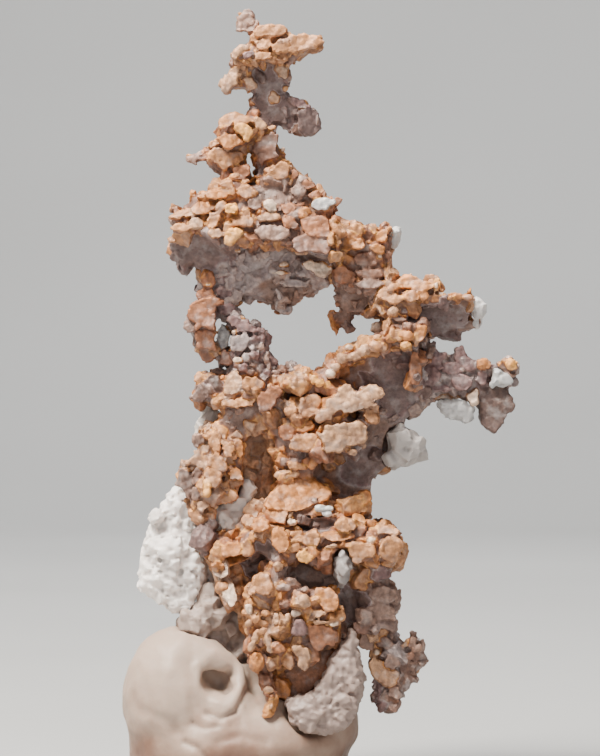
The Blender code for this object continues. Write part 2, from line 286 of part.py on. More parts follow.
LOWER_MASS_PLATES = [
    # the core
    ([(-4.2, 27.2), (-2.8, 28.4), (-1.6, 29.6), (0.2, 31.0), (4.0, 31.6), (9.0, 31.6), (12.0, 31.0),
      (11.8, 29.3), (12.6, 29.0), (14.0, 29.2), (15.0, 29.0), (16.3, 28.2), (16.5, 27.2), (17.0, 26.7),
      (16.5, 25.2), (16.0, 24.1), (15.5, 23.7), (15.2, 22.5), (15.7, 21.7), (16.2, 21.0), (15.5, 20.4),
      (16.0, 19.4), (16.1, 18.3), (14.7, 17.8), (14.0, 16.6), (12.2, 16.6), (11.4, 18.4), (9.8, 16.0),
      (8.6, 14.6), (6.0, 13.6), (3.0, 13.4), (0.4, 13.6), (-0.5, 15.2), (-0.8, 18.0), (-2.6, 19.4),
      (-3.2, 20.2), (-3.8, 21.8), (-4.4, 23.4), (-4.5, 25.0)], -3.6, 4.6, 0.0),
    # the shelf of lit crystals
    ([(-3.4, 27.2), (-1.6, 27.4), (-0.2, 29.6), (2.4, 29.6), (5.0, 28.6), (8.6, 28.6), (9.4, 30.0),
      (11.8, 29.8), (13.0, 28.8), (14.6, 29.2), (16.4, 28.2), (16.9, 26.6), (16.0, 24.4), (13.4, 24.8),
      (11.6, 24.6), (9.0, 24.6), (7.6, 24.0), (5.0, 24.8), (2.6, 24.2), (0.8, 25.6), (-3.2, 25.4)],
     -6.4, 1.0, 0.25),
    # the swelling of rounded crystals below it
    ([(-0.8, 20.4), (0.2, 22.8), (1.6, 24.2), (3.4, 23.6), (6.0, 22.2), (9.4, 22.0), (10.2, 19.6),
      (9.8, 17.8), (9.6, 15.8), (8.0, 15.2), (6.4, 13.4), (5.0, 13.8), (1.0, 13.0), (-0.3, 13.8),
      (-0.4, 16.0), (-0.8, 18.0)], -7.6, 0.0, -0.05),
    # the smooth plate that slopes up and back
    ([(1.4, 29.8), (1.8, 32.4), (3.0, 33.6), (4.5, 34.2), (5.6, 34.5), (6.8, 34.4), (7.2, 33.8),
      (8.2, 33.3), (8.8, 32.3), (8.2, 31.8), (8.6, 30.4), (8.4, 29.2), (5.0, 29.4)], -4.6, 0.4, 0.45),
    # the spiky leaf at the lower right
    ([(11.2, 22.8), (12.8, 24.0), (14.8, 24.4), (15.6, 23.4), (15.2, 22.5), (15.8, 21.7), (16.3, 21.0),
      (15.5, 20.4), (16.0, 19.4), (16.2, 18.2), (14.7, 17.8), (13.8, 16.4), (11.9, 16.4), (11.4, 19.0)],
     -4.2, 2.0, -0.05),
    # the red-brown root, down in the putty
    ([(1.6, 14.6), (2.4, 11.8), (3.0, 9.6), (4.4, 7.0), (7.4, 6.4), (9.4, 8.4), (9.8, 12.0),
      (9.6, 15.6)], -4.6, 3.6, 0.0),
]
LOWER_MASS_CRYSTALS = [
    (0.9, -6.0, 28.7, 1.4, 1.3, 1.0, 0), (3.1, -6.6, 27.6, 1.4, 1.3, 1.4, 0),
    (-2.0, -5.4, 26.4, 1.5, 1.3, 0.9, 0), (4.9, -6.4, 26.6, 1.2, 1.2, 1.0, 0),
    (6.2, -6.8, 26.4, 1.2, 1.2, 0.9, 0), (7.0, -6.0, 27.9, 1.1, 1.2, 0.9, 0),
    (8.8, -5.8, 27.5, 1.5, 1.2, 0.9, 0), (10.4, -5.4, 28.8, 1.5, 1.2, 1.0, 0),
    (12.2, -5.4, 26.4, 1.6, 1.2, 1.2, 0), (13.0, -4.8, 28.2, 1.2, 1.2, 0.9, 0),
    (15.0, -4.2, 28.0, 1.4, 1.2, 1.0, 0), (15.2, -4.4, 26.4, 1.4, 1.2, 1.3, 0),
    (15.1, -3.8, 24.8, 1.0, 1.2, 1.0, 0), (7.4, -6.4, 24.7, 1.4, 1.2, 0.7, 0),
    (3.2, -6.4, 24.8, 1.2, 1.2, 0.9, 0), (1.5, -7.4, 22.6, 1.3, 1.3, 1.4, 0),
    (0.1, -6.6, 21.2, 1.0, 1.2, 1.2, 0), (3.4, -7.4, 20.9, 1.2, 1.2, 1.1, 0),
    (5.5, -7.9, 20.6, 1.1, 1.2, 0.9, 0), (8.2, -7.2, 21.0, 1.4, 1.2, 1.1, 0),
    (7.6, -7.4, 19.3, 1.3, 1.2, 0.9, 0), (0.8, -7.2, 19.2, 1.3, 1.2, 1.0, 0),
    (3.2, -7.8, 18.4, 1.2, 1.2, 1.2, 0), (5.2, -7.7, 18.0, 1.1, 1.2, 1.1, 0),
    (7.8, -7.2, 17.2, 1.7, 1.2, 1.3, 0), (1.0, -7.4, 16.6, 1.1, 1.2, 1.3, 0),
    (3.1, -7.8, 15.6, 1.0, 1.2, 1.3, -30), (5.5, -7.8, 15.0, 0.9, 1.2, 1.5, 10),
    (0.7, -7.3, 14.2, 0.9, 1.1, 1.1, 0), (3.0, -7.0, 14.2, 1.4, 1.1, 1.0, 0),
    (-3.6, -4.4, 24.2, 0.9, 1.2, 1.2, 0), (-3.0, -4.4, 22.2, 0.9, 1.2, 1.2, 0),
    (-2.3, -4.2, 20.5, 0.9, 1.2, 1.1, 0), (-5.0, -3.4, 27.3, 1.3, 1.2, 1.5, 0),
    (-4.7, -3.4, 25.6, 1.1, 1.1, 1.0, 0), (13.6, -3.8, 21.2, 1.6, 1.1, 1.9, 0),
    (12.8, -3.6, 18.4, 1.3, 1.1, 1.4, 0), (15.0, -3.0, 19.2, 1.1, 1.1, 1.1, 0),
    (-1.6, 3.6, 26.0, 2.4, 2.0, 2.4, 0), (2.6, 4.8, 28.6, 2.8, 2.2, 2.4, 0),
    (7.6, 5.0, 27.0, 3.0, 2.4, 2.8, 0), (12.8, 4.2, 26.6, 2.6, 2.0, 2.4, 0),
    (2.0, 5.0, 23.0, 2.8, 2.4, 2.8, 0), (7.6, 5.2, 21.4, 3.0, 2.6, 3.0, 0),
    (12.8, 3.8, 21.0, 2.4, 2.0, 2.6, 0), (3.4, 4.2, 17.6, 2.8, 2.4, 2.6, 0),
    (8.6, 4.2, 16.8, 2.6, 2.4, 2.4, 0), (6.0, -0.6, 8.6, 3.0, 3.0, 2.6, 0),
    (1.6, -6.0, 12.2, 0.9, 1.6, 1.0, 0), (2.0, -6.6, 10.6, 0.8, 1.7, 1.1, 0),
    (2.2, -6.8, 9.2, 0.7, 1.6, 0.9, 0),
]

LOWER_RIGHT_SPRIG_PLATES = [
    ([(12.0, 18.2), (13.6, 18.4), (14.6, 17.4), (15.4, 16.9), (16.4, 16.5), (17.1, 15.2), (17.2, 16.5),
      (18.2, 16.6), (18.8, 16.2), (19.3, 15.0), (19.7, 14.1), (19.0, 13.3), (18.5, 13.0), (17.8, 12.5),
      (18.6, 12.0), (18.6, 11.3), (17.3, 10.7), (16.8, 10.2), (16.2, 9.8), (16.2, 8.6), (15.8, 7.7),
      (15.2, 8.2), (14.6, 8.4), (13.8, 8.2), (13.4, 9.2), (13.2, 10.2), (13.3, 11.8), (13.1, 13.4),
      (12.8, 14.9), (12.2, 16.5)], -2.6, -0.6, 0.0),
]
LOWER_RIGHT_SPRIG_CRYSTALS = [
    (13.8, -2.4, 15.9, 1.1, 0.9, 1.0, 0), (15.6, -2.4, 14.2, 1.3, 0.9, 1.2, 0),
    (18.2, -2.0, 15.0, 1.0, 0.9, 1.3, 15), (17.0, -2.0, 11.6, 1.2, 0.8, 0.7, 20),
    (15.4, -2.0, 9.4, 0.9, 0.8, 1.2, 0), (14.8, -1.0, 12.2, 1.2, 0.8, 1.4, 0),
    (17.6, -0.9, 13.4, 1.1, 0.8, 1.2, 0), (14.4, -0.8, 15.4, 1.1, 0.9, 1.2, 0),
]

COPPER_LIMBS = {
    "copper_top_sprig": (TOP_SPRIG_PLATES, TOP_SPRIG_CRYSTALS),
    "copper_neck": (NECK_PLATES, NECK_CRYSTALS),
    "copper_upper_mass": (UPPER_MASS_PLATES, UPPER_MASS_CRYSTALS),
    "copper_right_shoulder": (RIGHT_SHOULDER_PLATES, RIGHT_SHOULDER_CRYSTALS),
    "copper_right_ledge": (RIGHT_LEDGE_PLATES, RIGHT_LEDGE_CRYSTALS),
    "copper_right_arm": (RIGHT_ARM_PLATES, RIGHT_ARM_CRYSTALS),
    "copper_left_limb": (LEFT_LIMB_PLATES, LEFT_LIMB_CRYSTALS),
    "copper_left_column": (LEFT_COLUMN_PLATES, LEFT_COLUMN_CRYSTALS),
    "copper_central_mass": (CENTRAL_MASS_PLATES, CENTRAL_MASS_CRYSTALS),
    "copper_lower_mass": (LOWER_MASS_PLATES, LOWER_MASS_CRYSTALS),
    "copper_lower_right_sprig": (LOWER_RIGHT_SPRIG_PLATES, LOWER_RIGHT_SPRIG_CRYSTALS),
}

# The forks, seen from the front: each limb keeps what lies inside its own bounds (x and z), and
# neighbours share corners, so that a saw cut runs along each shared side.
LIMB_BOUNDS = {
    "copper_top_sprig": [
        (-20, 95), (-20, 75.2), (-0.4, 75.0), (0.5, 73.9), (2.3, 72.4), (3.6, 71.3), (40, 70.4), (40, 95)],
    "copper_neck": [
        (-20, 75.2), (-20, 66.9), (40, 66.9), (40, 70.4), (3.6, 71.3), (2.3, 72.4), (0.5, 73.9),
        (-0.4, 75.0)],
    "copper_upper_mass": [
        (-20, 66.9), (-20, 55.6), (-6.9, 56.2), (-2.3, 56.4), (-2.3, 54.0), (-1.5, 53.3), (0, 52.5),
        (6, 49.8), (7.4, 52.4), (8.9, 53.4), (8.9, 55.0), (9.2, 57.0), (9.2, 62.3), (10.2, 63.0),
        (10.6, 66.9)],
    "copper_right_shoulder": [
        (10.6, 66.9), (10.2, 63.0), (9.2, 62.3), (9.2, 57.0), (8.9, 55.0), (8.9, 53.4), (7.4, 52.4),
        (6, 49.8), (9.0, 48.9), (11.9, 49.4), (11.9, 52.0), (13.4, 53.9), (15.3, 56.9), (16.6, 57.6),
        (40, 60), (40, 66.9)],
    "copper_right_ledge": [
        (40, 60), (16.6, 57.6), (15.3, 56.9), (13.4, 53.9), (11.9, 52.0), (11.9, 49.4), (12.8, 50.6),
        (14.3, 50.6), (19.6, 50.95), (19.5, 49.3), (20.4, 48.85), (40, 48.6)],
    "copper_right_arm": [
        (40, 38), (40, 48.6), (20.4, 48.85), (19.5, 49.3), (18.85, 48.8), (18.85, 41.8), (19.7, 41.0),
        (25, 38.4)],
    "copper_left_limb": [
        (-20, 55.6), (-20, 46.2), (-4.7, 46.1), (-4.2, 45.3), (3.4, 45.3), (4.8, 46.2), (6, 49.8),
        (0, 52.5), (-1.5, 53.3), (-2.3, 54.0), (-2.3, 56.4), (-6.9, 56.2)],
    "copper_left_column": [
        (-20, 46.2), (-20, 29.4), (0.6, 29.6), (1.4, 35.5), (2.2, 40), (2.9, 43), (3.4, 45.3),
        (-4.2, 45.3), (-4.7, 46.1)],
    "copper_central_mass": [
        (3.4, 45.3), (2.9, 43), (2.2, 40), (1.4, 35.5), (0.6, 29.6), (14.4, 29.9), (15.2, 30.8),
        (40, 32), (40, 38), (25, 38.4), (19.7, 41.0), (18.85, 41.8), (18.85, 48.8), (19.5, 49.3),
        (19.6, 50.95), (14.3, 50.6), (12.8, 50.6), (11.9, 49.4), (9.0, 48.9), (6, 49.8), (4.8, 46.2)],
    "copper_lower_mass": [
        (-20, 29.4), (-20, 0), (12.2, 0), (12.2, 8), (11.8, 14), (11.6, 16.8), (14, 17.2),
        (16.6, 17.75), (40, 18), (40, 32), (15.2, 30.8), (14.4, 29.9), (0.6, 29.6)],
    "copper_lower_right_sprig": [
        (12.2, 0), (40, 0), (40, 18), (16.6, 17.75), (14, 17.2), (11.6, 16.8), (11.8, 14), (12.2, 8)],
}
CUT_HALF_DEPTH = 14.0

# The slot between the neck's two legs, seen from the front.
NECK_SLOT = [(-0.9, 66.3), (-0.6, 68.4), (-0.9, 69.4), (-0.4, 70.7), (0.2, 69.6), (0.5, 68.4), (0.9, 66.3)]

# ---------------------------------------------------------------- gangue: white rock and milky crystals
# Plates and crystals again, as for the copper.

GANGUE = {
    # the block behind the left edge, and the foot by which it runs in behind the copper
    "gangue_left_block": (
        [([(-8.0, 33.0), (-9.3, 32.4), (-9.9, 31.0), (-10.8, 30.0), (-11.8, 28.0), (-12.2, 26.0),
           (-12.6, 24.0), (-12.5, 21.6), (-11.0, 20.4), (-9.3, 19.6), (-8.5, 18.9), (-7.4, 18.9),
           (-6.7, 19.9), (-5.9, 21.0), (-5.2, 22.5), (-5.4, 25.0), (-5.6, 27.0), (-5.8, 29.0),
           (-6.6, 32.0)], -1.8, 3.6, 0.1),
         ([(-6.4, 30.6), (-4.6, 29.6), (-3.2, 28.0), (-2.8, 24.4), (-3.6, 21.2), (-5.6, 20.8),
           (-6.6, 24.0)], 0.8, 3.4, 0.0)],
        [(-9.2, -1.2, 25.8, 2.9, 2.3, 2.9, 0), (-9.6, -1.0, 22.6, 2.5, 2.0, 2.2, 0),
         (-8.4, -0.4, 30.2, 1.7, 1.6, 2.4, 0), (-7.2, -1.2, 23.0, 1.6, 1.8, 2.0, 0),
         (-8.6, 3.0, 26.0, 2.8, 2.0, 4.0, 0)]),
    "gangue_cleft_crust": (
        [([(-4.9, 30.6), (-4.2, 28.6), (-3.5, 27.9), (-1.5, 27.4), (-0.2, 28.0), (0.1, 29.8),
           (0.0, 31.0), (0.4, 32.4), (0.1, 33.6), (-0.9, 33.8), (-1.8, 31.6)], -3.0, 0.2, 0.0)],
        [(-2.4, -3.0, 29.2, 1.5, 1.1, 1.3, 0), (-0.6, -2.6, 31.4, 0.8, 1.0, 1.6, 0)]),
    "gangue_left_knob": (
        [([(-5.8, 40.6), (-4.9, 41.7), (-3.7, 41.7), (-3.2, 40.5), (-4.8, 38.6), (-6.2, 37.2),
           (-6.7, 38.6), (-6.3, 40.0)], 0.2, 3.0, 0.0)],
        [(-5.0, 0.8, 40.4, 1.3, 1.2, 1.1, 0)]),
    # grey crystals at the lower left, with a web that joins them to the copper
    "gangue_lower_left": (
        [([(-3.9, 20.6), (-4.4, 21.4), (-5.5, 20.8), (-6.5, 19.5), (-7.0, 18.6), (-7.9, 18.2),
           (-8.0, 17.4), (-6.8, 16.6), (-5.7, 15.6), (-4.9, 16.2), (-3.8, 17.4), (-2.8, 18.6),
           (-3.2, 19.8)], -3.2, 0.0, 0.0),
         ([(-4.6, 20.4), (-3.2, 20.6), (-1.0, 19.0), (0.6, 16.6), (0.2, 13.6), (-3.4, 13.4),
           (-5.0, 15.4), (-5.0, 18.0)], -1.8, 1.4, 0.0)],
        [(-5.8, -3.0, 18.2, 1.5, 1.1, 1.3, 20), (-4.6, -3.0, 19.4, 1.2, 1.0, 1.4, 0),
         (-2.4, -1.8, 17.2, 1.2, 1.0, 1.1, 0)]),
    "gangue_lower_right": (
        [([(10.9, 18.1), (10.5, 16.4), (9.3, 15.4), (8.4, 14.0), (8.0, 12.4), (6.5, 10.8), (4.2, 10.1),
           (3.6, 9.0), (4.3, 7.4), (5.5, 6.4), (7.4, 5.9), (10.3, 6.4), (11.6, 8.2), (12.2, 10.0),
           (12.5, 11.5), (12.2, 13.5), (11.7, 15.4), (11.4, 17.2)], -7.8, -4.6, 0.1)],
        [(6.6, -7.6, 8.4, 2.2, 1.2, 1.8, 0), (9.8, -7.4, 9.0, 2.0, 1.2, 2.1, 0),
         (10.4, -7.2, 12.2, 1.7, 1.1, 2.0, 0), (10.9, -6.6, 15.2, 0.8, 1.0, 1.6, 0)]),
    "gangue_front_chip": (
        [([(10.0, 26.3), (9.1, 25.2), (8.9, 23.6), (9.6, 21.9), (10.5, 22.4), (11.2, 24.4),
           (10.8, 25.6)], -7.2, -4.2, 0.0)], [(10.0, -7.0, 24.2, 0.9, 1.0, 1.6, 0)]),
    "gangue_right_lump": (
        [([(14.9, 35.2), (16.5, 35.0), (18.2, 35.6), (19.2, 37.0), (19.0, 38.3), (17.9, 39.4),
           (16.2, 39.6), (15.2, 38.6)], -2.4, 1.6, 0.0)],
        [(16.3, -2.2, 38.2, 1.1, 0.9, 1.2, 0), (17.6, -1.8, 36.9, 1.5, 1.2, 1.3, 0)]),
    "gangue_arm_upper": (
        [([(26.2, 44.0), (26.8, 46.2), (27.6, 46.0), (28.9, 44.8), (28.6, 44.0)], -2.2, -0.4, 0.0)], []),
    "gangue_arm_lower": (
        [([(20.4, 42.5), (21.6, 42.8), (23.4, 42.6), (24.9, 41.6), (24.7, 40.4), (23.2, 40.0),
           (21.8, 40.5), (20.7, 41.5)], -1.6, 0.8, 0.0)], []),
    "gangue_shoulder_tip": (
        [([(15.1, 60.7), (15.8, 62.0), (16.6, 62.2), (16.8, 61.2), (16.3, 59.8), (15.7, 59.0),
           (15.1, 59.4)], -1.2, 0.8, 0.0)], []),
    "gangue_ledge_tip": (
        [([(24.3, 54.0), (25.6, 53.8), (25.9, 52.8), (25.6, 51.2), (24.9, 50.2), (24.3, 50.9),
           (24.6, 52.2)], -1.2, 1.0, 0.0)], []),
}

# ---------------------------------------------------------------- putty
# Rounded bulges that are kneaded together: (x, y, z, half width, half depth, half height).

PUTTY_BULGES = [
    (-1.6, 0.0, 4.6, 12.4, 9.8, 5.8),
    (-7.6, -1.0, 9.4, 6.9, 7.4, 8.4),
    (4.2, 1.4, 6.6, 7.7, 7.6, 6.0),
    (-3.0, 3.4, 10.0, 8.4, 6.4, 5.8),
    (-1.8, 0.0, 1.8, 12.2, 10.0, 3.4),
]
# The fold where one lobe is pressed over another: a roll through these points (x, y, z, radius).
PUTTY_FOLD = [
    (-6.6, -6.0, 13.2, 0.9), (-5.4, -5.8, 14.2, 1.0), (-3.8, -5.0, 14.6, 1.1), (-2.2, -4.4, 13.8, 1.1),
    (-1.4, -4.6, 12.2, 1.1), (-1.4, -5.6, 10.6, 1.1), (-2.0, -7.0, 9.2, 1.1), (-3.2, -8.0, 8.2, 1.0),
    (-4.6, -8.4, 7.4, 0.8),
]
PUTTY_HOLLOW = (-3.7, -7.4, 11.7, 1.7, 2.2, 1.2)  # the dark dent inside the fold
PUTTY_SEGMENTS = 32


# ---------------------------------------------------------------- shaping

def add_plate(mesh, outline, front, back, lean, rounding=EDGE_ROUND):
    """A slab with this outline, its rim rounded back. Lean shears it along Y as it rises."""
    middle_z = sum(z for _, z in outline) / len(outline)
    if sum(a[0] * b[1] - b[0] * a[1] for a, b in zip(outline, outline[1:] + outline[:1])) < 0:
        outline = outline[::-1]
    inner = inset_outline(outline, rounding)
    rings = []
    profile = [(inner, front), (outline, front + rounding), (outline, back - rounding), (inner, back)]
    if not rounding:
        profile = [(outline, front), (outline, back)]
    for points, y in profile:
        rings.append([mesh.verts.new((x, y + lean * (z - middle_z), z)) for x, z in points])
    count = len(outline)
    for lower, upper in zip(rings, rings[1:]):
        for i in range(count):
            mesh.faces.new((lower[i], lower[(i + 1) % count], upper[(i + 1) % count], upper[i]))
    triangles = geometry.tessellate_polygon([[Vector((x, z, 0)) for x, z in inner]])
    for a, b, c in triangles:
        mesh.faces.new((rings[0][a], rings[0][b], rings[0][c]))
        mesh.faces.new((rings[-1][c], rings[-1][b], rings[-1][a]))


def inset_outline(outline, distance, even=False):
    """The anticlockwise outline, each corner moved in along the bisector of its two sides.

    When even is set, each side moves in by the whole distance, however sharp its corners are.
    """
    moved = []
    for i, corner in enumerate(outline):
        before = Vector(outline[i - 1])
        here = Vector(corner)
        after = Vector(outline[(i + 1) % len(outline)])
        along_in = (here - before).normalized()
        along_out = (after - here).normalized()
        inward = Vector((-along_in.y - along_out.y, along_in.x + along_out.x))
        if inward.length > 1e-6:
            inward.normalize()
            reach = inward.dot(Vector((-along_in.y, along_in.x))) if even else 1.0
            here = here + inward * distance / max(reach, 0.35)
        moved.append((here.x, here.y))
    return moved


def add_crystal(mesh, spec, seed):
    """A flat-faced crystal: the hull of a few points spread over an ellipsoid."""
    x, y, z, half_width, half_depth, half_height, roll = spec
    chance = random.Random(seed)
    turn = Matrix.Rotation(math.radians(roll), 3, "Y")
    golden = math.pi * (3 - math.sqrt(5))
    corners = 13
    start = chance.uniform(0, math.tau)
    made = []
    for i in range(corners):
        rise = 1 - 2 * (i + 0.5) / corners
        ring = math.sqrt(1 - rise * rise)
        angle = start + golden * i + chance.uniform(-0.25, 0.25)
        reach = chance.uniform(0.92, 1.18)
        local = Vector((ring * math.cos(angle) * half_width, ring * math.sin(angle) * half_depth,
                        rise * half_height)) * reach
        made.append(mesh.verts.new(turn @ local + Vector((x, y, z))))
    hull = bmesh.ops.convex_hull(mesh, input=made)
    spare = [v for v in hull["geom_interior"] if isinstance(v, bmesh.types.BMVert)]
    bmesh.ops.delete(mesh, geom=spare, context="VERTS")


def mesh_from(bm, name):
    """The bmesh, in millimetres, as an object in metres."""
    bmesh.ops.recalc_face_normals(bm, faces=bm.faces)
    data = bpy.data.meshes.new(name)
    bm.to_mesh(data)
    bm.free()
    data.transform(Matrix.Scale(MM, 4))
    made = bpy.data.objects.new(name, data)
    bpy.context.scene.collection.objects.link(made)
    return made


def settle(obj):
    """Applies the object's modifiers."""
    bpy.context.view_layer.update()
    graph = bpy.context.evaluated_depsgraph_get()
    applied = bpy.data.meshes.new_from_object(obj.evaluated_get(graph))
    obj.modifiers.clear()
    old = obj.data
    obj.data = applied
    bpy.data.meshes.remove(old)
    return obj


def fuse(obj, grain, keep):
    """Fuses overlapping shapes into one skin on a grid, then thins its faces."""
    remesh = obj.modifiers.new("fuse", "REMESH")
    remesh.mode = "VOXEL"
    remesh.voxel_size = grain * MM
    remesh.adaptivity = 0.0
    thin = obj.modifiers.new("thin", "DECIMATE")
    thin.decimate_type = "COLLAPSE"
    thin.ratio = keep
    thin.use_collapse_triangulate = True
    return settle(obj)


def cut(obj, cutter, operation="DIFFERENCE"):
    """Subtracts the cutter, or keeps what lies inside it, and removes the cutter."""
    cutter.hide_render = True
    cutter.display_type = "WIRE"
    boolean = obj.modifiers.new("cut", "BOOLEAN")
    boolean.operation = operation
    boolean.solver = "EXACT"
    boolean.object = cutter
    settle(obj)
    bpy.data.objects.remove(cutter)
    return obj


def swollen(obj, gap):
    """A copy of the object, fused again and pushed out by the gap, to cut room for it."""
    copy = bpy.data.objects.new(obj.name + "_room", obj.data.copy())
    bpy.context.scene.collection.objects.link(copy)
    remesh = copy.modifiers.new("fuse", "REMESH")
    remesh.mode = "VOXEL"
    remesh.voxel_size = 0.6 * MM
    push = copy.modifiers.new("push", "DISPLACE")
    push.strength = gap * MM
    push.mid_level = 0.0
    thin = copy.modifiers.new("thin", "DECIMATE")
    thin.ratio = 0.2
    settle(copy)
    return copy


def islands(bm):
    """The mesh's separate bodies, each a list of faces, the one with the most faces first."""
    unseen = set(bm.faces)
    found = []
    while unseen:
        stack = [unseen.pop()]
        body = []
        while stack:
            face = stack.pop()
            body.append(face)
            for edge in face.edges:
                for other in edge.link_faces:
                    if other in unseen:
                        unseen.discard(other)
                        stack.append(other)
        found.append(body)
    return sorted(found, key=len, reverse=True)


def keep_largest(obj):
    """Drops crumbs that a cut has left loose."""
    bm = bmesh.new()
    bm.from_mesh(obj.data)
    bodies = islands(bm)
    bmesh.ops.delete(bm, geom=[f for body in bodies[1:] for f in body], context="FACES")
    bm.to_mesh(obj.data)
    bm.free()
    return obj


def tidy(obj, faces_per_mm2):
    """Thins the faces that the cuts have multiplied, and welds what they left closer than 0.004 mm."""
    area = sum(face.area for face in obj.data.polygons) / (MM * MM)
    obj.data.calc_loop_triangles()
    thin = obj.modifiers.new("thin", "DECIMATE")
    thin.ratio = min(1.0, area * faces_per_mm2 / len(obj.data.loop_triangles))
    thin.use_collapse_triangulate = True
    settle(obj)
    bm = bmesh.new()
    bm.from_mesh(obj.data)
    bmesh.ops.remove_doubles(bm, verts=bm.verts, dist=0.004 * MM)
    bmesh.ops.dissolve_degenerate(bm, edges=bm.edges, dist=0.004 * MM)
    bmesh.ops.triangulate(bm, faces=bm.faces)
    bm.to_mesh(obj.data)
    bm.free()
    return obj


def prism(outline, name):
    """A cutter with this front view that runs right through the growth."""
    if sum(a[0] * b[1] - b[0] * a[1] for a, b in zip(outline, outline[1:] + outline[:1])) < 0:
        outline = outline[::-1]
    bm = bmesh.new()
    add_plate(bm, inset_outline(outline, KERF / 2, even=True), -CUT_HALF_DEPTH, CUT_HALF_DEPTH, 0.0, 0.0)
    return mesh_from(bm, name)


# ---------------------------------------------------------------- materials

def finish(name, colour, roughness, metallic):
    material = bpy.data.materials.new(name)
    material.use_nodes = True
    shader = material.node_tree.nodes["Principled BSDF"]
    shader.inputs["Base Color"].default_value = (*colour, 1)
    shader.inputs["Roughness"].default_value = roughness
    shader.inputs["Metallic"].default_value = metallic
    return material


def dress(obj, material, parent):
    obj.data.materials.clear()
    obj.data.materials.append(material)
    obj.parent = parent
    obj.data.shade_flat()


# ---------------------------------------------------------------- the pieces

def add_growth(mesh, name, plates, crystals):
    for outline, front, back, lean in plates:
        add_plate(mesh, outline, front, back, lean)
    for i, spec in enumerate(crystals):
        add_crystal(mesh, spec, f"{name}{i}")


def make_gangue(name):
    bm = bmesh.new()
    add_growth(bm, name, *GANGUE[name])
    return fuse(mesh_from(bm, name), GANGUE_GRAIN, GANGUE_KEEP)


def make_copper(gangue):
    """All limbs fused, with room cut for the gangue, then parted at the forks."""
    bm = bmesh.new()
    for limb, (plates, crystals) in COPPER_LIMBS.items():
        add_growth(bm, limb, plates, crystals)
    whole = fuse(mesh_from(bm, "copper"), COPPER_GRAIN, COPPER_KEEP)
    cut(whole, prism(NECK_SLOT, "neck_slot"))
    for rock in gangue:
        cut(whole, swollen(rock, CLEARANCE + 0.1))
    limbs = []
    for name in COPPER_LIMBS:
        limb = bpy.data.objects.new(name, whole.data.copy())
        bpy.context.scene.collection.objects.link(limb)
        cut(limb, prism(LIMB_BOUNDS[name], name + "_room"), "INTERSECT")
        limbs.append(tidy(keep_largest(limb), COPPER_FACES_PER_MM2))
    bpy.data.objects.remove(whole)
    return limbs


def add_bulge(mesh, x, y, z, half_width, half_depth, half_height):
    place = Matrix.Translation((x, y, z)) @ Matrix.Diagonal((half_width, half_depth, half_height, 1))
    bmesh.ops.create_uvsphere(mesh, u_segments=PUTTY_SEGMENTS, v_segments=PUTTY_SEGMENTS // 2,
                              radius=1.0, matrix=place)


def make_putty(neighbours):
    """The kneaded lump, pressed flat on the table, dented, and pressed round what it holds."""
    bm = bmesh.new()
    for bulge in PUTTY_BULGES:
        add_bulge(bm, *bulge)
    for (*a, wide_a), (*b, wide_b) in zip(PUTTY_FOLD, PUTTY_FOLD[1:]):
        for step in (0.0, 0.5, 1.0):
            wide = wide_a + (wide_b - wide_a) * step
            add_bulge(bm, *Vector(a).lerp(Vector(b), step), wide, wide, wide)
    putty = fuse(mesh_from(bm, "mounting_putty"), PUTTY_GRAIN, PUTTY_KEEP)
    table = bmesh.new()
    below = Matrix.Translation((0, 0, PUTTY_BASE_Z - 10)) @ Matrix.Diagonal((60, 60, 20, 1))
    bmesh.ops.create_cube(table, size=1.0, matrix=below)
    cut(putty, mesh_from(table, "table_top"))
    dent = bmesh.new()
    add_bulge(dent, *PUTTY_HOLLOW)
    cut(putty, mesh_from(dent, "dent"))
    for other in neighbours:
        cut(putty, swollen(other, CLEARANCE + 0.15))
    return tidy(keep_largest(putty), PUTTY_FACES_PER_MM2)


def main():
    for obj in list(bpy.data.objects):
        bpy.data.objects.remove(obj)
    stand = bpy.data.objects.new("specimen", None)
    bpy.context.scene.collection.objects.link(stand)

    copper_finish = finish("native_copper", (0.52, 0.27, 0.15), 0.5, 0.7)
    gangue_finish = finish("white_gangue", (0.72, 0.70, 0.67), 0.7, 0.0)
    putty_finish = finish("putty", (0.60, 0.53, 0.47), 0.6, 0.0)

    gangue = [make_gangue(name) for name in GANGUE]
    copper = make_copper(gangue)
    low = [o for o in copper if o.name in ("copper_lower_mass", "copper_lower_right_sprig")]
    low += [o for o in gangue if o.name in ("gangue_lower_left", "gangue_lower_right", "gangue_left_block")]
    putty = make_putty(low)

    for obj in gangue:
        dress(tidy(obj, GANGUE_FACES_PER_MM2), gangue_finish, stand)
    for obj in copper:
        dress(obj, copper_finish, stand)
    dress(putty, putty_finish, stand)


main()
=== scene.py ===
"""Native copper in a lump of mounting putty: its skins, its finishes and the studio round it."""

import itertools
import math

import bmesh
import bpy
import numpy as np
from mathutils import Matrix, Vector, kdtree
from mathutils.bvhtree import BVHTree


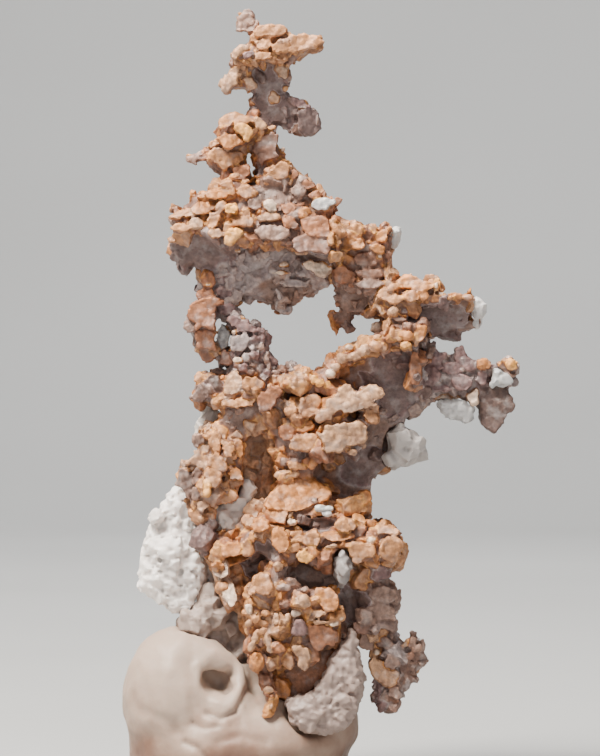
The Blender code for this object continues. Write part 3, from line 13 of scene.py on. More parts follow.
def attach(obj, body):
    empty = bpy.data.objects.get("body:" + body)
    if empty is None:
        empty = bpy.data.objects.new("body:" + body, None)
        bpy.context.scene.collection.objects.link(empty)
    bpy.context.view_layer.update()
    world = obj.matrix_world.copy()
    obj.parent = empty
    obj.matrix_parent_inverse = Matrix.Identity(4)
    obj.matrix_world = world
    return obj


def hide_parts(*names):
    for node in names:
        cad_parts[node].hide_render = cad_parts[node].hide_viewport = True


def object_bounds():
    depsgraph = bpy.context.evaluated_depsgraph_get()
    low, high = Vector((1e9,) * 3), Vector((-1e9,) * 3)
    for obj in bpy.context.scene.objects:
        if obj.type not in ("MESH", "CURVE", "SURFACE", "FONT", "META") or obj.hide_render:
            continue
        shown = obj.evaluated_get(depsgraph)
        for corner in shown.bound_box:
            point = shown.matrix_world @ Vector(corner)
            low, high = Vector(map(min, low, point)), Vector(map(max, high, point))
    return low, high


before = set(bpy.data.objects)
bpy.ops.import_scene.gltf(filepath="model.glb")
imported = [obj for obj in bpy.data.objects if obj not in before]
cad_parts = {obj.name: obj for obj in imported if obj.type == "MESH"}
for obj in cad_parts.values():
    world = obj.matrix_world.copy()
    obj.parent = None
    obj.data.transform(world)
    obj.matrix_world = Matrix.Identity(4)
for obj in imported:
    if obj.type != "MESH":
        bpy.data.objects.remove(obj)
solids_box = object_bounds()


# ---------------------------------------------------------------- the mounting putty
# Off-white mineral tack, kneaded between the fingers and pressed round the specimen's root, so it
# has soft folds, finger-flattened sides and a dent or two. Its underside is pressed flat.

MM = 0.001  # every piece is worked on in mm and handed over in metres
PUTTY_GRAIN = 0.29  # how finely its skin is drawn
PUTTY_ROUNDS = 12  # how many times its corners are smoothed
PUTTY_SWELLS = [(5.0, 0.22), (1.9, 0.09), (0.8, 0.03)]  # size of the swells and their height
WRINKLE_SIZE = 0.75
WRINKLE_HEIGHT = 0.06
WRINKLE_SQUEEZE = (1.0, 1.0, 0.35)  # less than 1 draws the wrinkles out, here upwards
KNEADED_FROM, KNEADED_OVER = 0.4, 1.5  # kneading starts this high, and is full this much higher
UNDERSIDE = 0.35  # what lies lower than this is pressed flat
FOLD_ROUNDS = 20  # how widely the putty's hollows are judged
PUTTY_TONES = [  # its colours, from its dark foot up to its pale top: the dark, warm foot is painted shade and a painted warm reflection
    (0.50, (0.12, 0.052, 0.032)), (0.68, (0.215, 0.118, 0.078)),
    (0.84, (0.32, 0.212, 0.155)), (1.0, (0.40, 0.295, 0.23)),
]
PUTTY_FOLDS = [  # (x, z) path of each fold on the side that faces -Y, its half width, and its height
    ([(-5.8, 13.6), (-4.4, 12.4)], 1.7, -0.5),
    ([(-4.7, 12.4), (-3.4, 11.9), (-2.3, 12.6)], 0.6, -0.9),
    ([(-3.9, 11.5), (-2.9, 10.9), (-2.2, 11.3)], 0.45, -0.8),
    ([(-5.9, 13.6), (-5.6, 11.6), (-4.9, 10.0), (-3.6, 9.5)], 0.5, 0.22),
    ([(-3.6, 9.4), (-2.2, 9.5), (-1.3, 10.8), (-1.0, 12.9)], 0.8, 0.3),
    ([(-4.9, 8.6), (-3.2, 8.0), (-1.6, 8.7), (-0.5, 10.9)], 0.3, -0.35),
    ([(-6.4, 7.4), (-5.0, 6.9), (-3.6, 7.2)], 0.3, -0.2),
    ([(-3.5, 5.6), (-1.0, 6.2), (1.6, 5.4)], 0.5, -0.2),
    ([(-7.2, 5.4), (-5.8, 4.8), (-4.6, 3.3)], 0.4, -0.4),
    ([(-12.0, 8.6), (-9.5, 7.8), (-7.6, 6.2)], 0.7, -0.2),
    ([(1.8, 2.2), (4.0, 3.2), (6.4, 3.0)], 0.5, -0.3),
]


def away_from(path, points):
    """How far the points are from the path, seen from the front."""
    places = points[:, [0, 2]]
    nearest = np.full(len(points), 99.0)
    for start, end in zip(np.array(path[:-1]), np.array(path[1:])):
        along = np.clip((places - start) @ (end - start) / ((end - start) @ (end - start)), 0, 1)
        off = places - start - along[:, None] * (end - start)
        nearest = np.minimum(nearest, np.linalg.norm(off, axis=1))
    return nearest


def solid_of(node):
    """Corners (in mm) and triangles of a solid of the frame, its corners welded."""
    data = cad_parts[node].data
    data.calc_loop_triangles()
    corners = np.empty(len(data.vertices) * 3)
    data.vertices.foreach_get("co", corners)
    triangles = np.empty(len(data.loop_triangles) * 3, dtype=np.int64)
    data.loop_triangles.foreach_get("vertices", triangles)
    corners = corners.reshape(-1, 3) / MM
    _, first, same = np.unique(np.round(corners, 4), axis=0, return_index=True, return_inverse=True)
    triangles = same.ravel()[triangles].reshape(-1, 3)
    whole = (triangles[:, 0] != triangles[:, 1]) & (triangles[:, 1] != triangles[:, 2])
    whole &= triangles[:, 0] != triangles[:, 2]
    return corners[first], triangles[whole]


def mesh_of(name, corners, triangles):
    """An object, still in mm, with these corners and triangles."""
    data = bpy.data.meshes.new(name)
    data.vertices.add(len(corners))
    data.vertices.foreach_set("co", corners.ravel())
    data.loops.add(triangles.size)
    data.loops.foreach_set("vertex_index", triangles.ravel())
    data.polygons.add(len(triangles))
    data.polygons.foreach_set("loop_start", np.arange(0, triangles.size, 3))
    data.update(calc_edges=True)
    made = bpy.data.objects.new(name, data)
    bpy.context.scene.collection.objects.link(made)
    return made


def settled(made):
    """The object with its modifiers worked into its mesh."""
    bpy.context.view_layer.update()
    graph = bpy.context.evaluated_depsgraph_get()
    skin = bpy.data.meshes.new_from_object(made.evaluated_get(graph))
    made.modifiers.clear()
    skin.materials.clear()
    made.data = skin
    return made


def fused(made, grain):
    """The object grown into one skin with softly worn edges, on a grid this fine."""
    fuse = made.modifiers.new("fuse", "REMESH")
    fuse.mode = "VOXEL"
    fuse.voxel_size = grain
    return settled(made)


def corners_of(made):
    points = np.empty(len(made.data.vertices) * 3)
    made.data.vertices.foreach_get("co", points)
    return points.reshape(-1, 3)


def normals_of(made):
    normals = np.empty(len(made.data.vertices) * 3)
    made.data.vertex_normals.foreach_get("vector", normals)
    return normals.reshape(-1, 3)


def noise(points, swell, seed):
    """Smooth noise from -1 to 1 whose swells are about this many mm wide."""
    place = points / swell + 31.7 * seed
    cell = np.floor(place).astype(np.int64)
    part = place - cell
    part = part * part * (3 - 2 * part)
    total = np.zeros(len(points))
    for corner in itertools.product((0, 1), repeat=3):
        x, y, z = (cell + corner).T
        mixed = (x * 73856093) ^ (y * 19349663) ^ (z * 83492791)
        mixed = (mixed ^ (mixed >> 13)) * 1274126177
        value = ((mixed ^ (mixed >> 16)) & 0xFFFF) / 32767.5 - 1
        weight = np.prod(np.where(corner, part, 1 - part), axis=1)
        total += value * weight
    return total


def facets(points, swell, seed):
    """Heights from about -0.5 to 0.5 of a crust of sharp-edged crystals, about this many mm apart."""
    turns = np.linalg.qr(np.random.default_rng(seed).normal(size=(16, 3, 3)))[0]
    place = points / swell + 17.3 * seed
    cell = np.floor(place).astype(np.int64)
    best = np.full(len(points), -9.0)
    for step in itertools.product((-1, 0, 1), repeat=3):
        near = cell + step
        mixed = (near[:, 0] * 73856093) ^ (near[:, 1] * 19349663) ^ (near[:, 2] * 83492791)
        chances = []
        for _ in range(4):
            mixed = (mixed ^ (mixed >> 15)) * 0x2C1B3C6D & 0x7FFFFFFF
            chances.append(((mixed >> 8) & 0xFFFF) / 65535.0)
        away = place - near - 0.15 - 0.7 * np.stack(chances[:3], axis=1)
        away = np.einsum("nij,nj->ni", turns[mixed & 15], away)
        best = np.maximum(best, 0.5 + 0.5 * chances[3] - 0.75 * np.abs(away).sum(axis=1))
    return best - 0.25


def evened(made, values, rounds):
    """Values at the corners, each evened out with its neighbours this many times."""
    edges = np.empty(len(made.data.edges) * 2, dtype=np.int64)
    made.data.edges.foreach_get("vertices", edges)
    a, b = edges.reshape(-1, 2).T
    size = len(made.data.vertices)
    count = np.maximum(np.bincount(a, minlength=size) + np.bincount(b, minlength=size), 1)
    values = np.array(values, float).reshape(size, -1)
    for _ in range(rounds):
        total = np.stack([
            np.bincount(a, column[b], size) + np.bincount(b, column[a], size)
            for column in values.T], axis=1)
        values = (values + total) / (count + 1)[:, None]
    return values.squeeze()


def attribute(made, name, values, domain="POINT"):
    layer = made.data.attributes.new(name, "FLOAT", domain)
    layer.data.foreach_set("value", np.asarray(values, dtype=np.float32))


def finished(made, points, node, crisp=0):
    """Puts the worked corners back, in metres and inside the frame's box, and hands the piece over."""
    lowest, highest = (np.array(corner) / MM for corner in solids_box)
    made.data.vertices.foreach_set("co", (np.clip(points, lowest, highest) * MM).ravel())
    made.data.update()
    made.data.shade_smooth()
    if crisp:
        made.data.set_sharp_from_angle(angle=math.radians(crisp))
    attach(made, "root")
    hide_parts(node)


def new_finish(name):
    """A new material, its shader, a way to add a node and a way to join an output to an input."""
    material = bpy.data.materials.new(name)
    material.use_nodes = True
    tree = material.node_tree

    def add(kind, sources=None, **settings):
        """A node with these settings; sources says which output feeds which of its inputs."""
        node = tree.nodes.new(kind)
        for setting, value in settings.items():
            if setting in node.inputs:
                node.inputs[setting].default_value = value
            else:
                setattr(node, setting, value)
        for socket, source in (sources or {}).items():
            tree.links.new(source, node.inputs[socket])
        return node

    return material, tree.nodes["Principled BSDF"], add, tree.links.new


def stored(add, name):
    """The values that the mesh itself holds under this name."""
    return add("ShaderNodeAttribute", attribute_name=name).outputs["Fac"]


def speckle(add, scale, detail, rough=0.5):
    """Mottling that is fixed to the piece."""
    place = add("ShaderNodeTexCoord").outputs["Object"]
    node = add("ShaderNodeTexNoise", {"Vector": place}, Scale=scale, Detail=detail, Roughness=rough)
    return node.outputs["Fac"]


def ramp(add, source, stops):
    """A colour for every value of the source."""
    node = add("ShaderNodeValToRGB", {"Fac": source})
    while len(node.color_ramp.elements) < len(stops):
        node.color_ramp.elements.new(0.5)
    for element, (place, colour) in zip(node.color_ramp.elements, stops):
        element.position = place
        element.color = (*colour, 1)
    return node.outputs["Color"]


def ranged(add, source, low, high, least, most):
    """The source's values from low to high, taken to values from least to most."""
    node = add("ShaderNodeMapRange", {"Value": source})
    for key, value in (("From Min", low), ("From Max", high), ("To Min", least), ("To Max", most)):
        node.inputs[key].default_value = value
    return node.outputs[0]


def sum_with(add, source, times, other):
    """The source this many times, and the other added to it."""
    node = add("ShaderNodeMath", {0: source, 2: other}, operation="MULTIPLY_ADD")
    node.inputs[1].default_value = times
    return node.outputs[0]


def mixed(add, amount, below, above, blend="MIX"):
    """Two colours mixed; the amount and each colour is an output or a plain value."""
    node = add("ShaderNodeMix", data_type="RGBA", blend_type=blend)
    for value, socket in ((amount, 0), (below, 6), (above, 7)):
        if isinstance(value, float):
            node.inputs[socket].default_value = value
        elif isinstance(value, tuple):
            node.inputs[socket].default_value = (*value, 1)
        else:
            node.id_data.links.new(value, node.inputs[socket])
    return node.outputs[2]


def dented(add, source, strength, depth):
    """A shading normal for fine dents."""
    return add("ShaderNodeBump", {"Height": source}, Strength=strength, Distance=depth).outputs["Normal"]


def putty_finish():
    """Pale tack, brown at its foot with painted shade and a painted warm reflection, and with painted
    shade in its folds.
    """
    material, shader, add, join = new_finish("mounting putty")
    place = add("ShaderNodeTexCoord").outputs["Object"]
    height = add("ShaderNodeSeparateXYZ", {"Vector": place}).outputs["Z"]
    # Painted shade and a painted warm reflection darken the putty towards its foot.
    tone = ramp(add, sum_with(add, height, 48.0, speckle(add, 170.0, 4.0)), PUTTY_TONES)
    # Painted shade in the putty's folds and dents.
    fold_shade = ranged(add, stored(add, "hollow"), 0.05, 0.45, 0.0, 0.6)
    join(mixed(add, fold_shade, tone, (0.115, 0.075, 0.058)), shader.inputs["Base Color"])
    join(dented(add, speckle(add, 1500.0, 6.0), 0.35, 0.00012), shader.inputs["Normal"])
    shader.inputs["Roughness"].default_value = 0.55
    shader.inputs["Subsurface Weight"].default_value = 0.25
    shader.inputs["Subsurface Radius"].default_value = (1.0, 0.6, 0.45)
    shader.inputs["Subsurface Scale"].default_value = 0.0015
    return material


putty = mesh_of("putty", *solid_of("mounting_putty"))
finer = putty.modifiers.new("finer", "REMESH")
finer.mode = "VOXEL"
finer.voxel_size = PUTTY_GRAIN
kneaded = putty.modifiers.new("kneaded", "SMOOTH")
kneaded.factor = 0.7
kneaded.iterations = PUTTY_ROUNDS
putty = settled(putty)
points = corners_of(putty)
above = np.clip((points[:, 2] - KNEADED_FROM) / KNEADED_OVER, 0, 1)
for i, (swell, height) in enumerate(PUTTY_SWELLS):
    points = points + normals_of(putty) * (noise(points, swell, i) * height * above)[:, None]
wrinkles = noise(points * WRINKLE_SQUEEZE, WRINKLE_SIZE, seed=8)
points = points + normals_of(putty) * (wrinkles * WRINKLE_HEIGHT * above)[:, None]
facing = np.clip(-normals_of(putty)[:, 1] * 2.5, 0, 1)
for path, width, height in PUTTY_FOLDS:
    fold = height * np.exp(-(away_from(path, points) / width) ** 2) * facing * above
    points = points + normals_of(putty) * fold[:, None]
points[:, 2] = np.where(points[:, 2] < UNDERSIDE, np.minimum(points[:, 2], 0.0), points[:, 2])
sunk = (evened(putty, points, FOLD_ROUNDS) - points) * normals_of(putty)
attribute(putty, "hollow", sunk.sum(axis=1))
putty.data.materials.append(putty_finish())
finished(putty, points, "mounting_putty")


# ---------------------------------------------------------------- the copper's lower mass
# The widest part: a crust of rounded crystals and thin leaves of copper, rooted in the putty.
# Every copper piece is made the same way: its solid draws back a little and is overgrown with
# leaves, pebbles and blocks, and all of it is grown into one skin and worn soft at its edges.

GRAIN = 0.13  # how finely the grown surface is drawn
MOST_TRIANGLES = 170000  # in one piece
KEPT_SHARE = 0.58  # of a piece's triangles, at most
SHRINK = 0.30  # how far the solid draws back under its crystals
THIN_SHRINK = 0.2  # the most that it draws back, as a share of its thickness
THICK = 6.0  # thicknesses beyond this aren't measured
FORK_REACH = 0.55  # where another piece is this near, the two meet in a fork
FORK_OVERLAP = 0.34  # how far it runs on through a fork, so that no slit shows
FORK_MARGIN = 0.25  # no crystal grows nearer to another piece than this
COPPER_COVER = 1.25  # how closely the crystals crowd
CRYSTAL_SIZES = [  # shares of the crystals, and their size against the middling ones
    (0.20, 1.8), (0.25, 1.35), (0.30, 1.0), (0.20, 0.75), (0.05, 0.55),
]
CROWDING = 0.6  # how near two crystals may be, as a share of their radii together
FOOTPRINT = 2.2  # surface that a crystal takes up, in squares of its radius
MOST_CRYSTALS = 20000
CRYSTAL_KINDS = {  # how often each grows, and how far it tilts from facing straight out
    "leaf": (0.6, 0.28), "pebble": (0.05, 0.8), "block": (0.35, 0.8),
}
SHAPES_PER_KIND = 12
LEAF_EDGE = 0.12  # bevel round a leaf's front face
LEAF_ROOT = 1.0  # how deep a leaf is rooted in the surface that it stands on
LEAF_SPAN = (9, 6)  # no leaf is wider, or taller, than this
ROOTED = 0.75  # the share of its stand-out that a leaf or a pebble keeps once it is rooted
RIM_REACH = 0.8  # how far over the solid's rim a leaf or a pebble may hang
FRONT, SIDE = -0.4, 0.15  # below these, a surface's normal in y is that of a front or a side
BACK = 0.3  # beyond this it faces back, and no patch of tone reaches it
SMALL = 0.45  # under a leaf, only crystals smaller than this share of the middling size grow
SIDE_SINK = 0.55  # how much deeper, in radii, the crystals at the side of a leaf sit
TONE_PATCH = 4.5  # width of the patches in which crystals are toned alike
FACETS = [(1.35, 0.30), (0.6, 0.17)]  # sizes of the small crystals all over it, and their height
PLAIN = 0.4  # how much of those is left where the solid lies bare
RELIEF = [(1.6, 0.05), (0.6, 0.05)]  # swells of the worn surface, and their height
EVENED = {"tint": 1, "crease": 4, "hollow": 16, "upward": 36}  # how widely each is evened out
CRISP = 24  # degrees between two faces over which the edge between them stays sharp
COPPER_NODES = [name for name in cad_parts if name.startswith("copper")]
SOLIDS = {name: solid_of(name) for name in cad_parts}
COPPER_TONES = {  # tones of weathered copper, its dust, and painted shade and highlight: its place on one scale, its colour
    # dark and dusk paint shade on recesses, undersides and leaves in shadow, partly the copper's dark
    # patina
    "dark": (0.00, (0.090, 0.055, 0.046)),
    "dusk": (0.06, (0.138, 0.090, 0.082)),
    "violet": (0.12, (0.19, 0.112, 0.108)),
    "ash": (0.20, (0.33, 0.27, 0.26)),
    "dun": (0.28, (0.225, 0.140, 0.108)),
    "brown": (0.36, (0.17, 0.085, 0.057)),
    "russet": (0.44, (0.255, 0.102, 0.047)),
    "orange": (0.56, (0.39, 0.155, 0.045)),
    # gold is painted highlight, set on leaves and pebbles where the light falls brightest
    "gold": (0.66, (0.62, 0.30, 0.075)),
    "tan": (0.76, (0.36, 0.165, 0.068)),
    "beige": (0.86, (0.40, 0.225, 0.125)),
    "pale": (0.94, (0.60, 0.45, 0.34)),
    "frost": (1.00, (0.45, 0.45, 0.45)),
}


def skin_round(outline, rows):
    """A closed body from one outline at several depths: rows are (y, inset), from the front back."""
    outline = np.array(outline, float)
    turn = outline[:, 0] * np.roll(outline[:, 1], -1) - outline[:, 1] * np.roll(outline[:, 0], -1)
    if turn.sum() < 0:
        outline = outline[::-1]
    ahead = np.roll(outline, -1, axis=0) - outline
    out = np.stack([ahead[:, 1], -ahead[:, 0]], axis=1)
    out /= np.linalg.norm(out, axis=1)[:, None]
    out = out + np.roll(out, 1, axis=0)
    out /= np.maximum(np.linalg.norm(out, axis=1), 0.5)[:, None]
    count = len(outline)
    corners = []
    for depth, inset in rows:
        ring = outline - out * inset
        corners.append(np.stack([ring[:, 0], np.full(count, depth), ring[:, 1]], axis=1))
    bm = bmesh.new()
    bm.faces.new([bm.verts.new((x, 0, z)) for x, z in outline])
    bmesh.ops.triangulate(bm, faces=bm.faces, ngon_method="EAR_CLIP")
    bm.verts.index_update()
    caps = np.array([[v.index for v in face.verts] for face in bm.faces])
    bm.free()
    triangles = [caps, caps[:, ::-1] + count * (len(rows) - 1)]
    here, there = np.arange(count), np.roll(np.arange(count), -1)
    for row in range(len(rows) - 1):
        near, far = row * count, (row + 1) * count
        triangles.append(np.stack([near + here, far + here, far + there], axis=1))
        triangles.append(np.stack([near + here, far + there, near + there], axis=1))
    return np.vstack(corners), np.vstack(triangles)


def chipped(outline, chance, ragged):
    """The outline with its corners cut and its edge made this ragged, in mm."""
    outline = np.array(outline, float)
    ahead = np.roll(outline, -1, axis=0)
    cut = [outline * (1 - part) + ahead * part for part in (0.18, 0.5, 0.82)]
    return np.stack(cut, axis=1).reshape(-1, 2) + chance.normal(scale=ragged, size=(3 * len(outline), 2))


def crystal_shapes(kind, count, seed):
    """Crystals of one kind, about one unit in radius: (corners, triangles) of each."""
    chance = np.random.default_rng(seed)
    shapes = []
    if kind == "leaf":
        for _ in range(count):
            angles = np.linspace(0, 2 * math.pi, chance.integers(6, 10), endpoint=False)
            angles += chance.uniform(-0.25, 0.25, len(angles))
            reach = chance.uniform(0.62, 1.15, len(angles))
            outline = np.stack([np.cos(angles) * reach * 1.2, np.sin(angles) * reach * 0.85], axis=1)
            thick = chance.uniform(0.30, 0.5)
            outline = chipped(outline, chance, 0.04)
            shapes.append(skin_round(outline, [(-thick, 0.12), (-0.6 * thick, 0.0), (thick, 0.1)]))
        return shapes
    cube = np.array([d for d in itertools.product((-1, 0, 1), repeat=3) if sum(map(abs, d)) == 1], float)
    octahedron = np.array(list(itertools.product((-1, 1), repeat=3)), float) / math.sqrt(3)
    for _ in range(count):
        if kind == "pebble":
            planes = np.vstack([cube, octahedron, chance.normal(size=(16, 3))])
            reach = chance.uniform(0.88, 1.0, len(planes))
        else:
            planes = np.vstack([cube, octahedron[chance.permutation(8)[:5]], chance.normal(size=(3, 3))])
            reach = np.concatenate([chance.uniform(0.6, 0.95, 6), chance.uniform(0.85, 1.1, 8)])
        planes = planes + chance.normal(scale=0.09, size=planes.shape)
        planes /= np.linalg.norm(planes, axis=1)[:, None]
        trios = np.array(list(itertools.combinations(range(len(planes)), 3)))
        walls = planes[trios]
        sound = np.abs(np.linalg.det(walls)) > 1e-3
        meets = np.linalg.solve(walls[sound], reach[trios][sound][:, :, None])[:, :, 0]
        meets = meets[(meets @ planes.T <= reach + 1e-6).all(axis=1)]
        bm = bmesh.new()
        for corner in meets:
            bm.verts.new(corner)
        bmesh.ops.remove_doubles(bm, verts=bm.verts, dist=0.03)
        hull = bmesh.ops.convex_hull(bm, input=bm.verts)
        loose = [part for part in hull["geom_interior"] + hull["geom_unused"]
                 if isinstance(part, bmesh.types.BMVert)]
        bmesh.ops.delete(bm, geom=loose, context="VERTS")
        bmesh.ops.triangulate(bm, faces=bm.faces)
        bm.verts.index_update()
        corners = np.array([v.co for v in bm.verts])
        shapes.append((corners, np.array([[v.index for v in f.verts] for f in bm.faces])))
        bm.free()
    return shapes


SHAPES = {kind: crystal_shapes(kind, SHAPES_PER_KIND, i) for i, kind in enumerate(CRYSTAL_KINDS)}


def aimed(chance, normal, tilt):
    """A rotation that turns a crystal's front, its -Y side, to the normal, give or take the tilt."""
    facing = Vector(normal) + Vector(chance.normal(size=3)) * tilt
    turn = (-facing).to_track_quat("Y", "Z").to_matrix()
    return np.array(turn @ Matrix.Rotation(chance.uniform(0, 2 * math.pi), 3, "Y"))


def drawn_back(node, others):
    """The solid's corners, drawn back by SHRINK, less where it is thin, and run on through its forks."""
    corners, triangles = SOLIDS[node]
    made = mesh_of(node + "-core", corners, triangles)
    normals = normals_of(made)
    bpy.data.objects.remove(made)
    own = BVHTree.FromPolygons(corners.tolist(), triangles.tolist())
    moved = corners.copy()
    for i, (corner, normal) in enumerate(zip(corners, normals)):
        here, out = Vector(corner), Vector(normal)
        near = others.find_nearest(here, FORK_REACH)[0]
        if near is not None and (near - here).normalized().dot(out) > 0.3:
            moved[i] += normal * FORK_OVERLAP
            continue
        through = own.ray_cast(here - out * 0.01, -out, THICK)
        thick = through[3] if through[0] is not None else THICK
        moved[i] -= normal * min(SHRINK, THIN_SHRINK * thick)
    return moved, triangles


def inside(outline, x, z):
    """Whether the place lies inside the outline."""
    if abs(x - outline[0][0]) > LEAF_SPAN[0] or abs(z - outline[0][1]) > LEAF_SPAN[1]:
        return False
    odd = False
    for (x1, z1), (x2, z2) in zip(outline, outline[1:] + outline[:1]):
        if (z1 > z) != (z2 > z) and x < (x2 - x1) * (z - z1) / (z2 - z1) + x1:
            odd = not odd
    return odd


def spots(corners, triangles, size, cover, chance, keep_off):
    """Places for crystals over the surface, the big ones first, so that they crowd but don't coincide."""
    a, b, c = corners[triangles[:, 0]], corners[triangles[:, 1]], corners[triangles[:, 2]]
    across = np.cross(b - a, c - a)
    area = np.linalg.norm(across, axis=1) / 2
    normal = across / np.maximum(np.linalg.norm(across, axis=1), 1e-9)[:, None]
    places, radii, facing = np.empty((MOST_CRYSTALS, 3)), np.empty(MOST_CRYSTALS), []
    for share, scale in CRYSTAL_SIZES:
        radius = size * scale
        wanted = int(cover * share * area.sum() / (FOOTPRINT * radius * radius))
        faces = chance.choice(len(area), size=wanted * 3 + 8, p=area / area.sum())
        u, v = chance.uniform(size=(2, len(faces)))
        flip = u + v > 1
        u, v = np.where(flip, 1 - u, u), np.where(flip, 1 - v, v)
        tries = a[faces] + (b - a)[faces] * u[:, None] + (c - a)[faces] * v[:, None]
        placed = 0
        for point, face in zip(tries, faces):
            if placed >= wanted:
                break
            r = radius * chance.uniform(0.85, 1.15)
            count = len(facing)
            away = ((places[:count] - point) ** 2).sum(axis=1)
            if (away < (CROWDING * (radii[:count] + r)) ** 2).any() or keep_off(point, normal[face], r):
                continue
            places[count], radii[count] = point, r
            facing.append(normal[face])
            placed += 1
    return places, radii, facing


def apart(centres, reach):
    """Sorts the crystals into sets in which none touches another, so that each set is one clean mesh."""
    tree = kdtree.KDTree(len(centres))
    for i, centre in enumerate(centres):
        tree.insert(centre, i)
    tree.balance()
    group = np.full(len(centres), -1)
    for i, centre in enumerate(centres):
        near = tree.find_range(centre, reach[i] + reach.max())
        used = {group[j] for _, j, distance in near if distance < reach[i] + reach[j]}
        group[i] = next(g for g in itertools.count() if g not in used)
    return [np.flatnonzero(group == g) for g in range(group.max() + 1)]


def largest_part(corners, triangles, tints):
    """The biggest connected part of a mesh: crystals that hang in the air are dropped."""
    label = np.arange(len(corners))
    a, b = triangles.ravel(), np.roll(triangles, -1, axis=1).ravel()
    while True:
        lower = np.minimum(label[a], label[b])
        new = label.copy()
        np.minimum.at(new, a, lower)
        np.minimum.at(new, b, lower)
        new = new[new]
        if (new == label).all():
            break
        label = new
    kept = label[triangles[:, 0]] == np.bincount(label[triangles[:, 0]]).argmax()
    used, renamed = np.unique(triangles[kept], return_inverse=True)
    return corners[used], renamed.reshape(-1, 3), tints[kept]


def united(name, core, crystals):
    """One skin round the core and its crystals, (corners, triangles, tint); the core's tint is -1."""
    made = mesh_of(name, *core)
    attribute(made, "tint", np.full(len(core[1]), -1), "FACE")
    centres = np.array([corners.mean(axis=0) for corners, _, _ in crystals])
    reach = np.array([
        np.linalg.norm(corners - centre, axis=1).max()
        for (corners, _, _), centre in zip(crystals, centres)])
    helpers = []
    for group in apart(centres, reach):
        corners, triangles, tints, start = [], [], [], 0
        for i in group:
            corners.append(crystals[i][0])
            triangles.append(crystals[i][1] + start)
            tints += [crystals[i][2]] * len(crystals[i][1])
            start += len(crystals[i][0])
        helper = mesh_of(name + "-set", np.vstack(corners), np.vstack(triangles))
        attribute(helper, "tint", tints, "FACE")
        union = made.modifiers.new("grown together", "BOOLEAN")
        union.operation = "UNION"
        union.solver = "MANIFOLD"
        union.object = helper
        helpers.append(helper)
    made = settled(made)
    for helper in helpers:
        bpy.data.objects.remove(helper)
    data = made.data
    data.calc_loop_triangles()
    triangles = np.empty(len(data.loop_triangles) * 3, dtype=np.int64)
    data.loop_triangles.foreach_get("vertices", triangles)
    faces = np.empty(len(data.loop_triangles), dtype=np.int64)
    data.loop_triangles.foreach_get("polygon_index", faces)
    tints = np.empty(len(data.polygons), dtype=np.float32)
    data.attributes["tint"].data.foreach_get("value", tints)
    whole = largest_part(corners_of(made), triangles.reshape(-1, 3), tints[faces])
    bpy.data.objects.remove(made)
    return whole


def bvh_of(names):
    """These solids as one, to find out what is near."""
    corners, triangles, start = [], [], 0
    for name in names:
        corners.append(SOLIDS[name][0])
        triangles.append(SOLIDS[name][1] + start)
        start += len(SOLIDS[name][0])
    return BVHTree.FromPolygons(np.vstack(corners).tolist(), np.vstack(triangles).tolist())


def worn_skin(node, seed, crust, shades, base):
    """The crust grown into one skin, set with small crystals, thinned, worn soft and toned."""
    corners, triangles, tints = crust
    made = fused(mesh_of(node.replace("_", "-"), corners, triangles), GRAIN)
    height = sum(
        facets(corners_of(made), swell, seed + i) * most for i, (swell, most) in enumerate(FACETS))
    sharp = BVHTree.FromPolygons(corners.tolist(), triangles.tolist())
    nearest = [sharp.find_nearest(point) for point in corners_of(made).tolist()]
    made.data.vertices.foreach_set("co", np.array([hit[0] for hit in nearest]).ravel())
    made.data.update()
    tint = tints[[hit[2] for hit in nearest]]
    height *= np.where(tint < 0, PLAIN, 1.0)
    points = corners_of(made) + normals_of(made) * height[:, None]
    attribute(made, "tint", tint)
    made.data.vertices.foreach_set("co", points.ravel())
    thinned = made.modifiers.new("thinned", "DECIMATE")
    thinned.ratio = min(1.0, MOST_TRIANGLES / (2.0 * len(made.data.polygons)), KEPT_SHARE)
    made = settled(made)

    points, normals = corners_of(made), normals_of(made)
    tint = np.empty(len(points), dtype=np.float32)
    made.data.attributes["tint"].data.foreach_get("value", tint)
    made.data.attributes.remove(made.data.attributes["tint"])
    core_tint = np.full(len(points), COPPER_TONES[base][0])
    # Patches of other tones on the solid's front: most dark ones are painted shade in recesses and undersides,     partly the copper's dark patina, and a few light ones are painted light in shadowed clefts and strips.
    for tone, x, z, half_width, half_height in shades:
        away = np.hypot((points[:, 0] - x) / half_width, (points[:, 2] - z) / half_height)
        away += 0.25 * noise(points, 1.2, seed) + np.clip(normals[:, 1], 0, 1) * 2
        part = np.clip((1.15 - away) / 0.3, 0, 1)
        core_tint += (COPPER_TONES[tone][0] - core_tint) * part
    tint = np.where(tint < 0, core_tint + 0.03 * noise(points, 0.8, seed), tint)
    height = sum(noise(points, swell, seed + i) * most for i, (swell, most) in enumerate(RELIEF))
    points = points + normals * height[:, None]
    made.data.vertices.foreach_set("co", points.ravel())
    made.data.update()

    normals = normals_of(made)
    attribute(made, "tint", np.clip(evened(made, tint, EVENED["tint"]), 0, 1))
    for name in ("hollow", "crease"):
        attribute(made, name, ((evened(made, points, EVENED[name]) - points) * normals).sum(axis=1))
    attribute(made, "upward", evened(made, normals, EVENED["upward"])[:, 2])
    return made, points


